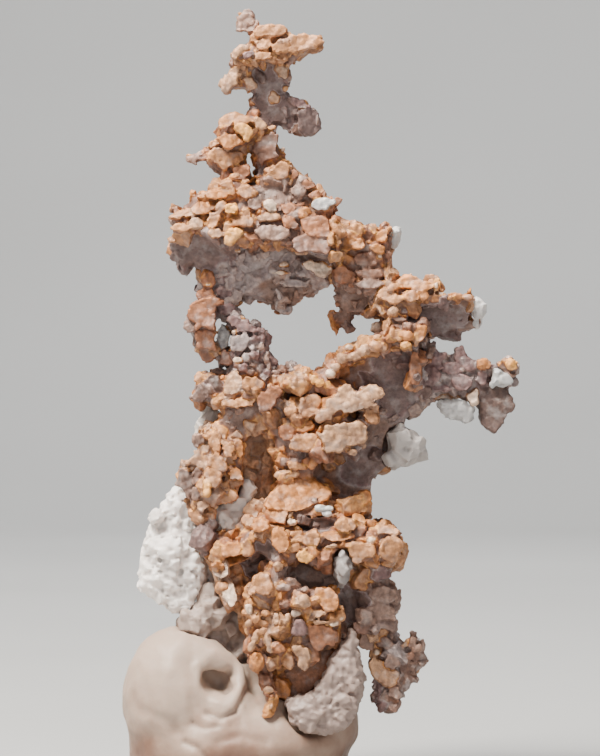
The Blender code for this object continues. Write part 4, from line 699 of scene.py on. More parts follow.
def grown(node, size, seed, tones, leaves, pebbles, bare=(), shades=(), base="brown"):
    """A copper piece: its core overgrown with crystals, grown together into one skin and toned.

    leaves and pebbles are set one by one on the side that faces -Y. A leaf is (tone, stand-out in mm,
    lean back in degrees, outline); a pebble is (tone, x, z, half width, half height, roll in
    degrees, stand-out). bare holds discs (x, z, radius) of that side where little else grows, and
    shades holds its patches (tone, x, z, half width, half height) of another tone than the base.
    """
    chance = np.random.default_rng(seed)
    kinds, shares = list(CRYSTAL_KINDS), np.cumsum([share for share, _ in CRYSTAL_KINDS.values()])
    others = bvh_of([name for name in COPPER_NODES if name != node])
    corners, triangles = drawn_back(node, others)
    surface = BVHTree.FromPolygons(corners.tolist(), triangles.tolist())

    def front_at(x, z):
        """The solid's front at this place, or its rim if the place is just off it, or None."""
        hit = surface.ray_cast(Vector((x, -40, z)), Vector((0, 1, 0)), 80.0)[0]
        if hit is None:
            rim = surface.find_nearest(Vector((x, 0, z)))[0]
            hit = rim if math.hypot(rim.x - x, rim.z - z) < RIM_REACH else None
        return hit

    def covered(point):
        """Whether a listed leaf or a bare disc is in front of this place."""
        return (any(math.hypot(point[0] - x, point[2] - z) < reach for x, z, reach in bare)
                or any(inside(outline, point[0], point[2]) for _, _, _, outline in leaves))

    def keep_off(point, normal, radius):
        """Whether no crystal of this radius grows here."""
        if others.find_nearest(Vector(point), FORK_MARGIN)[0] is not None:
            return True
        return normal[1] < FRONT and radius > SMALL * size and covered(point)

    crystals = []
    for place, radius, normal in zip(*spots(corners, triangles, size, COPPER_COVER, chance, keep_off)):
        kind = kinds[int(np.searchsorted(shares, chance.uniform()))]
        shape, faces = SHAPES[kind][chance.integers(SHAPES_PER_KIND)]
        stretch = [chance.uniform(0.95, 1.3), chance.uniform(0.7, 1.0), chance.uniform(0.7, 1.0)]
        beside_leaf = FRONT < normal[1] < SIDE and covered(place)
        centre = place - normal * radius * (chance.uniform(0.1, 0.35) + SIDE_SINK * beside_leaf)
        turn = aimed(chance, normal, CRYSTAL_KINDS[kind][1])
        patch = 0.5 + 0.55 * noise(place[None], TONE_PATCH, seed)[0] + chance.uniform(-0.22, 0.22)
        toned = tones[int(min(max(patch, 0.0), 0.999) * len(tones))]
        # The same patches tone the crystals in them, painted shade and painted light included.
        for shade, x, z, half_width, half_height in shades:
            away = math.hypot((place[0] - x) / half_width, (place[2] - z) / half_height)
            if normal[1] < BACK and away < 1:
                toned = shade
        tone = COPPER_TONES[toned][0] + chance.uniform(-0.03, 0.03)
        shape = (shape * (radius * np.array(stretch))) @ turn.T + centre
        crystals.append((shape, faces, min(max(tone, 0.0), 1.0)))
    for tone, stand, lean, outline in leaves:
        middle = np.mean(outline, axis=0)
        spread = [middle] + [middle * 0.4 + np.array(corner) * 0.6 for corner in outline]
        depths = [hit.y for hit in (front_at(*place) for place in spread) if hit is not None]
        if not depths:
            continue
        stand *= ROOTED
        outline = chipped(outline, chance, 0.05)
        rows = [(0.0, LEAF_EDGE), (LEAF_EDGE, 0.0), (stand + LEAF_ROOT, 0.05)]
        shape, faces = skin_round(outline, rows)
        turn = math.tan(math.radians(chance.uniform(-12, 12)))
        lean_back = (shape[:, 2] - middle[1]) * math.tan(math.radians(lean))
        shape[:, 1] += np.median(depths) - stand + lean_back + (shape[:, 0] - middle[0]) * turn
        crystals.append((shape, faces, COPPER_TONES[tone][0]))
    for tone, x, z, half_width, half_height, roll, stand in pebbles:
        hit = front_at(x, z)
        if hit is None:
            continue
        shape, faces = SHAPES["pebble"][chance.integers(SHAPES_PER_KIND)]
        half_depth = 0.8 * min(half_width, half_height)
        turn = np.array(Matrix.Rotation(math.radians(roll), 3, "Y"))
        centre = np.array([x, hit.y + half_depth * 0.5 - stand * ROOTED, z])
        shape = (shape * (half_width, half_depth, half_height)) @ turn.T + centre
        crystals.append((shape, faces, COPPER_TONES[tone][0]))
    return worn_skin(node, seed, united(node, (corners, triangles), crystals), shades, base)


def copper_finish(name, dust=0.0, tarnish_and_shade=0.45, rough=0.58, metal=0.25):
    """Weathered copper: toned crystal by crystal, with painted shade in its crevices, a painted highlight
    on its edges that is partly rubbed wear, and violet-brown tarnish with painted shade where it faces
    down."""
    material, shader, add, join = new_finish(name)
    hollow, crease = stored(add, "hollow"), stored(add, "crease")
    colour = ramp(add, stored(add, "tint"), list(COPPER_TONES.values()))
    patches = ramp(add, speckle(add, 430.0, 5.0, 0.6), [
        (0.32, (0.66, 0.62, 0.62)), (0.52, (1.0, 1.0, 1.0)), (0.72, (1.22, 1.17, 1.10))])
    colour = mixed(add, 1.0, colour, patches, "MULTIPLY")
    grit = ramp(add, speckle(add, 2600.0, 3.0, 0.6), [
        (0.30, (0.70, 0.66, 0.64)), (0.50, (1.0, 1.0, 1.0)), (0.68, (1.28, 1.24, 1.18))])
    colour = mixed(add, 1.0, colour, grit, "MULTIPLY")
    # Painted shade where the surface faces down, mixed with the copper's violet-brown tarnish.
    underside_tarnish_and_shade = ranged(add, stored(add, "upward"), 0.15, -0.75, 0.0, tarnish_and_shade)
    colour = mixed(add, underside_tarnish_and_shade, colour, (0.125, 0.082, 0.076))
    # Painted highlight on convex edges, partly rubbed wear.
    edge_highlight_and_wear = ranged(add, crease, -0.012, -0.06, 0.0, 0.36)
    colour = mixed(add, edge_highlight_and_wear, colour, (1.75, 1.65, 1.5), "MULTIPLY")
    # Painted shade in hollows, and in fine creases below.
    colour = mixed(add, ranged(add, hollow, 0.04, 0.34, 0.0, 0.42), colour, (0.09, 0.052, 0.042))
    colour = mixed(add, ranged(add, crease, 0.02, 0.09, 0.0, 0.25), colour, (0.08, 0.045, 0.034))
    if dust:
        dusty = ranged(add, speckle(add, 700.0, 4.0, 0.6), 0.5, 0.68, 0.0, dust)
        colour = mixed(add, dusty, colour, (0.44, 0.41, 0.40))
    join(colour, shader.inputs["Base Color"])
    fine = speckle(add, 4200.0, 5.0, 0.6)
    join(ranged(add, fine, 0.0, 1.0, rough - 0.12, rough + 0.14), shader.inputs["Roughness"])
    join(dented(add, fine, 0.5, 0.00006), shader.inputs["Normal"])
    shader.inputs["Metallic"].default_value = metal
    return material


LOWER_MASS_LEAVES = [
    ("pale", 2.3, 30, [
        (-4.3, 25.0), (-3.4, 25.4), (-2.4, 24.7), (-2.5, 23.5), (-3.2, 22.9), (-4.2, 23.6)]),
    ("pale", 2.6, 30, [
        (-3.7, 23.3), (-2.7, 23.4), (-1.8, 22.2), (-1.4, 20.9), (-2.1, 19.9), (-2.9, 20.8),
        (-3.4, 22.1)]),
    ("tan", 1.3, 20, [
        (-0.4, 21.7), (0.1, 22.6), (0.5, 23.6), (1.1, 23.9), (1.9, 23.6), (2.3, 22.9), (2.5, 22.0),
        (1.8, 21.3), (1.0, 21.4), (0.5, 21.8), (-0.1, 21.3)]),
    ("orange", 1.2, 25, [
        (0.0, 28.8), (0.4, 29.6), (1.2, 29.8), (1.9, 29.3), (2.0, 28.6), (1.2, 28.2), (0.4, 28.2)]),
    ("orange", 1.5, 10, [
        (2.2, 27.3), (2.3, 28.4), (3.0, 28.8), (3.7, 28.5), (4.0, 27.6), (4.3, 26.9), (3.9, 26.1),
        (3.2, 25.9), (2.6, 26.5)]),
    ("orange", 1.2, 20, [
        (-3.3, 25.6), (-3.3, 26.4), (-2.7, 27.0), (-1.5, 27.2), (-1.0, 26.5), (-1.1, 25.7),
        (-2.0, 25.4)]),
    ("tan", 0.9, 15, [(-1.0, 26.9), (-0.4, 27.5), (0.3, 26.8), (0.4, 25.8), (-0.3, 25.5), (-1.0, 25.7)]),
    ("orange", 1.5, 40, [
        (-4.3, 25.1), (-2.8, 25.1), (-1.0, 25.6), (0.3, 25.3), (-0.8, 24.9), (-2.2, 24.3), (-3.4, 24.2),
        (-4.2, 24.3)]),
    ("gold", 1.6, 15, [
        (4.9, 25.6), (5.4, 26.1), (5.9, 26.5), (6.3, 25.9), (6.9, 25.6), (6.5, 25.0), (5.9, 24.7),
        (5.2, 25.0)]),
    ("tan", 1.1, 20, [
        (5.1, 27.3), (5.9, 27.8), (6.4, 28.4), (7.1, 28.5), (7.5, 27.9), (7.6, 27.1), (7.2, 26.6),
        (6.4, 26.8), (5.6, 26.9)]),
    ("orange", 1.0, 35, [
        (7.4, 27.7), (8.2, 28.2), (9.6, 28.3), (10.9, 28.1), (11.4, 27.6), (10.0, 27.2), (8.6, 27.2)]),
    ("tan", 1.3, 20, [
        (9.1, 28.8), (9.5, 29.6), (10.4, 29.8), (11.3, 29.4), (11.6, 28.7), (10.8, 28.1), (9.7, 28.2)]),
    ("tan", 1.2, 5, [
        (10.5, 26.5), (11.0, 27.0), (12.2, 26.9), (13.4, 26.8), (13.7, 26.1), (13.3, 25.5), (12.3, 25.4),
        (12.0, 24.7), (11.2, 24.8), (10.7, 25.6)]),
    ("tan", 0.9, 0, [
        (14.0, 26.0), (14.1, 27.0), (14.7, 27.6), (15.7, 27.8), (16.5, 27.2), (16.7, 26.6), (16.2, 25.6),
        (15.9, 24.7), (15.2, 24.9), (14.4, 25.3)]),
    ("tan", 0.7, 35, [
        (12.8, 28.5), (13.8, 28.8), (15.2, 28.9), (16.2, 28.3), (16.0, 27.8), (14.8, 27.9),
        (13.4, 28.0)]),
    ("orange", 1.0, 0, [(6.2, 24.9), (8.5, 25.0), (8.7, 24.2), (7.9, 23.9), (7.2, 23.9), (6.7, 24.3)]),
    ("tan", 1.0, 20, [(4.1, 26.6), (5.0, 26.9), (5.6, 26.5), (5.0, 26.0), (4.3, 26.0)]),
    ("russet", 0.6, -5, [
        (6.0, 18.0), (7.0, 18.1), (8.2, 18.1), (9.2, 17.6), (9.6, 16.4), (9.0, 15.6), (8.2, 15.9),
        (7.5, 15.2), (6.8, 15.5), (6.3, 16.4)]),
    ("violet", 0.8, 0, [
        (4.4, 17.2), (4.5, 18.2), (5.0, 18.8), (5.7, 18.5), (6.0, 17.8), (6.0, 17.0), (5.0, 16.9)]),
    ("beige", 1.0, 0, [
        (4.5, 15.9), (5.4, 16.0), (6.1, 15.7), (6.5, 15.2), (6.5, 14.2), (6.2, 13.3), (5.8, 13.1),
        (5.3, 13.6), (5.1, 14.5), (4.7, 15.1)]),
    ("beige", 0.9, 30, [
        (6.5, 19.9), (7.5, 19.8), (8.2, 19.4), (7.4, 18.9), (6.6, 18.7), (6.0, 18.4), (6.2, 19.1)]),
    ("orange", 1.0, 15, [
        (7.0, 22.0), (8.3, 22.1), (9.3, 21.6), (9.6, 20.6), (9.2, 19.6), (8.0, 19.8), (7.3, 20.4)]),
    ("dun", 0.7, -5, [
        (12.6, 21.3), (13.5, 22.0), (14.6, 22.2), (15.6, 21.9), (16.2, 21.0), (15.6, 20.3), (14.6, 20.2),
        (13.4, 20.4)]),
    ("dun", 0.6, -5, [
        (12.6, 19.9), (13.8, 20.2), (15.4, 20.0), (15.9, 19.0), (15.9, 18.3), (14.6, 18.4), (13.6, 18.2),
        (12.8, 18.9)]),
    ("brown", 0.8, 0, [(11.0, 18.2), (12.3, 18.4), (13.1, 17.6), (12.6, 16.8), (11.5, 17.0)]),
    ("violet", 0.6, 0, [
        (12.4, 23.9), (13.6, 24.6), (15.2, 24.2), (15.4, 23.0), (14.0, 22.6), (12.8, 22.9)]),
]
LOWER_MASS_PEBBLES = [
    ("orange", 0.6, 14.1, 0.85, 1.1, 0, 1.0), ("tan", 2.1, 13.9, 0.5, 0.75, 0, 0.9),
    ("tan", 3.0, 13.4, 1.0, 0.5, 0, 0.9), ("tan", 4.0, 14.2, 0.65, 1.05, -15, 1.0),
    ("beige", 2.95, 15.3, 0.48, 1.0, 38, 1.3), ("beige", 1.9, 16.1, 0.38, 1.15, -8, 1.2),
    ("beige", 0.3, 16.3, 0.42, 1.15, 22, 1.2), ("tan", 1.1, 17.4, 0.75, 0.42, -10, 1.1),
    ("brown", 1.1, 16.2, 0.35, 0.6, 0, 0.6), ("pale", 9.6, 18.9, 0.45, 0.22, 0, 0.8),
    ("pale", 9.0, 18.2, 0.5, 0.25, -10, 1.0), ("beige", 7.6, 18.45, 0.9, 0.22, 0, 0.9),
    ("beige", 5.6, 20.7, 0.95, 0.75, 0, 1.2), ("pale", 4.9, 19.5, 0.55, 0.4, 0, 1.3),
    ("beige", 3.9, 18.8, 0.38, 0.7, 20, 1.2), ("beige", 3.2, 17.6, 0.55, 0.5, 0, 1.0),
    ("beige", 2.7, 18.8, 0.42, 0.65, 10, 1.1), ("tan", 1.6, 19.4, 0.6, 0.42, 0, 1.1),
    ("tan", 0.6, 18.8, 0.6, 0.5, 0, 1.0), ("pale", -0.2, 19.8, 0.5, 0.6, -20, 1.2),
    ("beige", -0.2, 18.3, 0.45, 0.42, 0, 0.9), ("pale", 2.5, 20.4, 0.42, 0.6, 45, 1.2),
    ("beige", 1.6, 20.4, 0.35, 0.4, 0, 1.0), ("brown", 3.7, 20.3, 0.7, 0.6, 0, 0.7),
    ("tan", 1.4, 18.3, 0.5, 0.4, 0, 1.0), ("orange", 9.4, 16.8, 0.25, 0.85, 10, 0.8),
    ("dun", 3.6, 22.2, 0.7, 0.42, 0, 0.9), ("pale", 2.4, 23.2, 0.22, 0.3, 0, 1.2),
    ("dun", 5.9, 21.9, 0.5, 0.4, 0, 1.0), ("pale", 13.1, 27.3, 0.55, 0.4, 0, 1.0),
    ("beige", 8.7, 26.6, 0.8, 0.25, -8, 1.2), ("pale", 4.4, 29.2, 0.55, 0.42, 0, 1.2),
    ("beige", 3.0, 24.4, 0.6, 0.5, 0, 1.1), ("brown", 4.0, 24.3, 0.5, 0.5, 0, 0.8),
    ("tan", 1.6, 24.3, 0.8, 0.35, 0, 0.9), ("orange", 0.2, 27.6, 0.5, 0.6, 0, 0.9),
    ("tan", 4.9, 27.9, 0.9, 0.45, 0, 0.6), ("orange", -3.7, 24.4, 0.8, 0.6, 0, 2.4),
    ("beige", -3.6, 23.2, 0.7, 0.8, 0, 2.4), ("tan", -3.3, 22.2, 0.7, 0.7, 0, 2.4),
    ("beige", -2.6, 21.2, 0.7, 0.7, 0, 2.4), ("tan", -2.4, 20.2, 0.6, 0.7, 0, 2.3),
    ("beige", -1.7, 21.6, 0.6, 0.6, 0, 2.2), ("beige", -1.4, 22.8, 0.55, 0.45, 0, 0.9),
    ("beige", 1.7, 11.7, 0.5, 0.25, 0, 0.5), ("beige", 1.9, 11.0, 0.6, 0.28, 0, 0.5),
    ("tan", 1.5, 10.3, 0.32, 0.35, 0, 0.5), ("beige", 2.2, 10.0, 0.32, 0.3, 0, 0.5),
    ("tan", 1.7, 9.5, 0.4, 0.3, 0, 0.5), ("pale", 1.5, 8.8, 0.35, 0.38, 0, 0.5),
    ("beige", 2.2, 9.2, 0.3, 0.3, 0, 0.5), ("pale", 13.9, 17.1, 0.35, 0.5, 0, 0.9),
    ("pale", 14.5, 16.3, 0.3, 0.25, 0, 0.9), ("beige", 13.2, 16.1, 0.45, 0.2, 0, 0.9),
]

lower_mass, points = grown(
    "copper_lower_mass", 0.85, 1, ["brown", "russet", "orange", "orange", "tan", "tan", "beige"],
    LOWER_MASS_LEAVES, LOWER_MASS_PEBBLES,
    bare=[
        (6, 12, 2.3), (7.5, 13.5, 1.2), (11, 20.8, 1.6), (11.3, 19, 0.9), (6.5, 23.2, 2), (7.2, 29, 1.2),
        (8.2, 29.2, 0.9), (5.6, 28.8, 0.8), (-0.3, 24.1, 0.8), (1.4, 26.2, 0.8)],
    # The dark patches and the dun one under the ledge at z 23 are painted shade in recesses and under     ledges; the tan one on the left strip at x -2.7 is painted light against the shade of the overhang above it.
    shades=[
        ("dun", 13.8, 18.6, 3.4, 4.6), ("dusk", -5.4, 26.8, 1.8, 2.2), ("tan", -2.7, 22.5, 2.4, 4.2),
        ("russet", 6.5, 12.3, 3.5, 2.6), ("dark", 11.2, 20.5, 1.6, 2.5), ("dun", 6.3, 23.2, 3.2, 1.2),
        ("dark", 6.9, 29, 2.4, 0.8), ("dark", -0.3, 24.1, 1.0, 0.9), ("dark", 1.4, 26.2, 1.2, 1.3)])
WARM = copper_finish("warm weathered copper", dust=0.25, tarnish_and_shade=0.4)
lower_mass.data.materials.append(WARM)
finished(lower_mass, points, "copper_lower_mass", CRISP)


# ---------------------------------------------------------------- the copper's lower right sprig
# A short branch at the foot of the mass: dull leaves edged with pale crystals.

LOWER_SPRIG_LEAVES = [
    ("beige", 0.9, 5, [
        (12.9, 13.6), (13.3, 14.2), (14.4, 13.9), (14.9, 13.3), (15.3, 12.8), (16.1, 12.7), (16.2, 12.0),
        (15.9, 11.2), (15.2, 10.9), (14.5, 11.0), (14.1, 11.6), (13.2, 12.2)]),
    ("dun", 0.8, 0, [
        (14.6, 13.2), (14.9, 14.5), (15.6, 14.8), (16.3, 14.2), (16.5, 13.4), (15.8, 12.9),
        (15.0, 12.9)]),
    ("dun", 0.9, 0, [(13.4, 16.0), (14.2, 16.6), (15.2, 16.3), (16.0, 15.6), (15.5, 15.0), (14.2, 15.2)]),
    ("russet", 0.4, 0, [
        (15.1, 10.3), (16.2, 10.0), (16.2, 9.2), (16.2, 8.2), (15.8, 7.8), (15.2, 8.3), (15.0, 9.2)]),
]
LOWER_SPRIG_PEBBLES = [
    ("pale", 15.8, 14.9, 0.2, 0.75, -45, 1.3), ("pale", 16.5, 14.1, 0.2, 0.6, -25, 1.3),
    ("pale", 13.85, 14.75, 0.28, 0.28, 0, 0.9), ("pale", 13.85, 10.8, 0.3, 0.55, -20, 1.0),
    ("dun", 17.8, 15.9, 0.45, 0.55, 0, 0.8), ("dun", 18.4, 15.2, 0.4, 0.5, 0, 0.8),
    ("beige", 17.0, 15.7, 0.3, 0.6, 20, 0.9), ("brown", 17.6, 14.3, 0.5, 0.5, 0, 0.8),
    ("dun", 18.5, 13.9, 0.35, 0.4, 0, 0.8), ("beige", 17.2, 12.8, 0.6, 0.3, -20, 0.9),
    ("beige", 18.2, 12.6, 0.4, 0.4, 0, 0.8),
]

lower_right_sprig, points = grown(
    "copper_lower_right_sprig", 0.6, 2, ["dun", "ash", "beige", "beige"],
    LOWER_SPRIG_LEAVES, LOWER_SPRIG_PEBBLES,
    shades=[("violet", 13.6, 10.5, 1.0, 3.2)])
DULL = copper_finish("dull weathered copper", dust=0.4, tarnish_and_shade=0.45, rough=0.56, metal=0.3)
lower_right_sprig.data.materials.append(DULL)
finished(lower_right_sprig, points, "copper_lower_right_sprig", CRISP)


# ---------------------------------------------------------------- the copper's left column
# A stack of small leaves and knobs up the left side, with a dark cleft behind its right edge.

LEFT_COLUMN_LEAVES = [
    ("dark", 0.5, -5, [
        (-5.1, 44.8), (-4.6, 45.4), (-3.6, 45.0), (-3.2, 44.4), (-2.9, 43.6), (-3.0, 42.9), (-3.5, 42.6),
        (-4.0, 42.1), (-4.7, 42.3), (-4.9, 43.1), (-5.2, 43.8)]),
    ("dun", 0.9, 10, [(-5.3, 44.6), (-4.9, 45.3), (-5.1, 45.7), (-5.7, 45.5), (-5.9, 45.0)]),
    ("dun", 0.8, 10, [
        (-4.8, 45.9), (-3.9, 46.3), (-2.8, 46.0), (-2.2, 45.8), (-2.9, 45.0), (-3.6, 44.9),
        (-4.4, 45.3)]),
    ("dun", 0.9, 5, [
        (-6.9, 42.9), (-6.3, 43.4), (-5.9, 44.3), (-5.4, 43.9), (-5.1, 43.2), (-4.9, 42.5), (-5.5, 42.2),
        (-6.2, 42.5)]),
    ("beige", 0.9, 15, [
        (-3.0, 44.9), (-2.0, 45.9), (-1.3, 45.6), (-1.0, 44.9), (-1.0, 44.2), (-1.4, 43.4), (-2.5, 43.0),
        (-3.0, 43.3)]),
    ("tan", 1.2, 15, [
        (-1.1, 44.6), (-0.5, 45.2), (0.7, 45.0), (1.4, 44.4), (1.3, 43.9), (0.3, 43.6), (-0.6, 43.6),
        (-1.1, 43.9)]),
    ("tan", 1.3, 30, [
        (-3.4, 42.0), (-2.9, 42.6), (-2.0, 42.5), (-1.2, 43.0), (-0.2, 43.4), (0.4, 43.2), (0.5, 42.4),
        (0.1, 41.8), (-1.0, 41.9), (-1.7, 41.7), (-2.4, 41.8)]),
    ("russet", 1.2, 5, [
        (0.6, 42.9), (1.4, 43.5), (1.9, 43.9), (2.2, 44.3), (2.5, 43.9), (3.3, 43.9), (3.4, 43.3),
        (2.8, 42.6), (2.4, 41.7), (1.6, 41.2), (1.0, 41.2), (0.8, 41.9)]),
    ("tan", 1.0, 10, [
        (-5.6, 39.4), (-5.0, 39.0), (-3.6, 39.1), (-3.2, 38.5), (-3.6, 37.6), (-3.3, 37.0), (-4.2, 36.7),
        (-4.7, 37.7), (-5.1, 38.4)]),
    ("dun", 1.1, 0, [
        (-6.5, 38.4), (-6.3, 38.9), (-5.6, 38.8), (-5.1, 38.5), (-5.1, 38.0), (-5.7, 37.6), (-6.1, 37.3),
        (-6.6, 37.8)]),
    ("tan", 1.3, 15, [
        (-3.2, 37.1), (-3.0, 37.7), (-2.4, 38.0), (-1.9, 37.9), (-1.9, 37.0), (-2.1, 36.3),
        (-2.8, 36.4)]),
    ("orange", 0.9, 5, [
        (-1.9, 38.2), (-1.2, 38.3), (-0.8, 37.6), (-0.8, 36.6), (-1.2, 36.2), (-1.9, 36.4)]),
    ("beige", 1.2, 10, [
        (-6.0, 36.9), (-5.8, 37.6), (-5.1, 37.7), (-4.7, 37.2), (-4.8, 36.4), (-4.7, 35.6), (-5.2, 35.0),
        (-6.0, 35.2), (-6.6, 35.6), (-7.3, 35.3), (-7.4, 35.8), (-6.5, 36.3)]),
    ("tan", 1.4, 10, [
        (-4.6, 36.4), (-3.9, 36.9), (-3.3, 36.4), (-2.7, 35.8), (-2.4, 35.3), (-2.8, 34.8), (-3.6, 34.7),
        (-4.4, 35.1), (-4.9, 35.6)]),
    ("tan", 1.4, 10, [
        (-5.2, 34.2), (-5.0, 35.0), (-4.2, 35.2), (-3.6, 34.7), (-3.2, 34.0), (-3.6, 33.2), (-4.0, 32.8),
        (-4.4, 33.4), (-4.9, 34.0)]),
    ("orange", 1.1, 10, [
        (-2.6, 34.5), (-2.3, 35.1), (-1.6, 35.2), (-1.0, 34.6), (-0.9, 33.8), (-1.6, 33.9),
        (-2.3, 33.7)]),
    ("tan", 1.4, 15, [
        (-2.3, 33.7), (-1.6, 33.9), (-0.9, 33.8), (-0.9, 33.3), (-1.5, 33.0), (-2.2, 33.2)]),
    ("gold", 1.5, 20, [
        (-5.3, 33.4), (-5.0, 33.9), (-4.5, 33.8), (-4.3, 33.0), (-4.4, 32.2), (-4.8, 31.9),
        (-5.3, 32.3)]),
    ("tan", 1.4, 10, [
        (-4.0, 32.5), (-3.2, 33.1), (-2.2, 32.9), (-1.6, 32.2), (-1.7, 31.6), (-2.5, 31.2), (-3.2, 31.1),
        (-3.3, 31.7)]),
    ("tan", 1.2, 10, [(-4.2, 33.1), (-3.2, 33.7), (-2.4, 33.5), (-2.3, 32.9), (-3.2, 32.9)]),
    ("dun", 0.9, -5, [
        (-8.0, 35.2), (-7.5, 35.0), (-6.9, 34.8), (-6.6, 34.1), (-6.5, 33.3), (-6.0, 33.1), (-6.3, 32.5),
        (-6.8, 31.6), (-7.2, 32.1), (-7.4, 32.9), (-8.5, 33.1), (-8.2, 33.6), (-8.0, 34.2)]),
    ("dun", 1.1, 0, [
        (-6.4, 34.9), (-5.8, 35.2), (-5.4, 34.7), (-5.6, 34.0), (-5.7, 33.4), (-6.3, 33.2),
        (-6.6, 33.9)]),
    ("dun", 1.1, 0, [(-6.5, 32.9), (-5.9, 33.1), (-5.4, 32.9), (-5.5, 32.2), (-5.9, 31.7), (-6.5, 31.5)]),
    ("beige", 1.2, 25, [
        (-5.7, 31.8), (-4.6, 31.7), (-4.3, 31.2), (-4.9, 30.6), (-5.4, 30.2), (-6.0, 30.6),
        (-6.1, 31.2)]),
    ("beige", 1.0, 20, [
        (-7.4, 30.9), (-7.0, 31.2), (-6.2, 31.0), (-6.1, 30.5), (-6.0, 29.9), (-6.4, 29.5), (-6.5, 30.2),
        (-7.0, 30.3)]),
]
LEFT_COLUMN_PEBBLES = [
    ("dun", -1.4, 41.4, 0.5, 0.45, 0, 0.9), ("pale", -3.35, 42.1, 0.25, 0.35, 0, 1.1),
    ("pale", -6.1, 39.6, 0.35, 0.45, 0, 0.5), ("beige", -5.5, 29.6, 0.35, 0.4, 0, 0.8),
    ("pale", 2.1, 44.0, 0.2, 0.25, 0, 1.4),
]

left_column, points = grown(
    "copper_left_column", 0.7, 3, ["dun", "orange", "tan", "tan", "beige"],
    LEFT_COLUMN_LEAVES, LEFT_COLUMN_PEBBLES,
    bare=[(0.8, 37, 1.8), (0.6, 33, 1), (0.7, 40, 2.2), (-0.9, 40.2, 1.3)],
    # The beige patch lies in the dark cleft: painted light against its shade.
    shades=[("dun", -0.3, 40.4, 2.6, 1.6), ("beige", 0.7, 35, 1.7, 6), ("dusk", -5.4, 26.8, 1.8, 2.2)])
PLUM = copper_finish("plum-brown weathered copper", dust=0.3, tarnish_and_shade=0.55)
left_column.data.materials.append(PLUM)
finished(left_column, points, "copper_left_column", CRISP)


# ---------------------------------------------------------------- the copper's central mass
# Big leaves over a smooth dark hollow on the right; the slope below them is a plain bent plate.

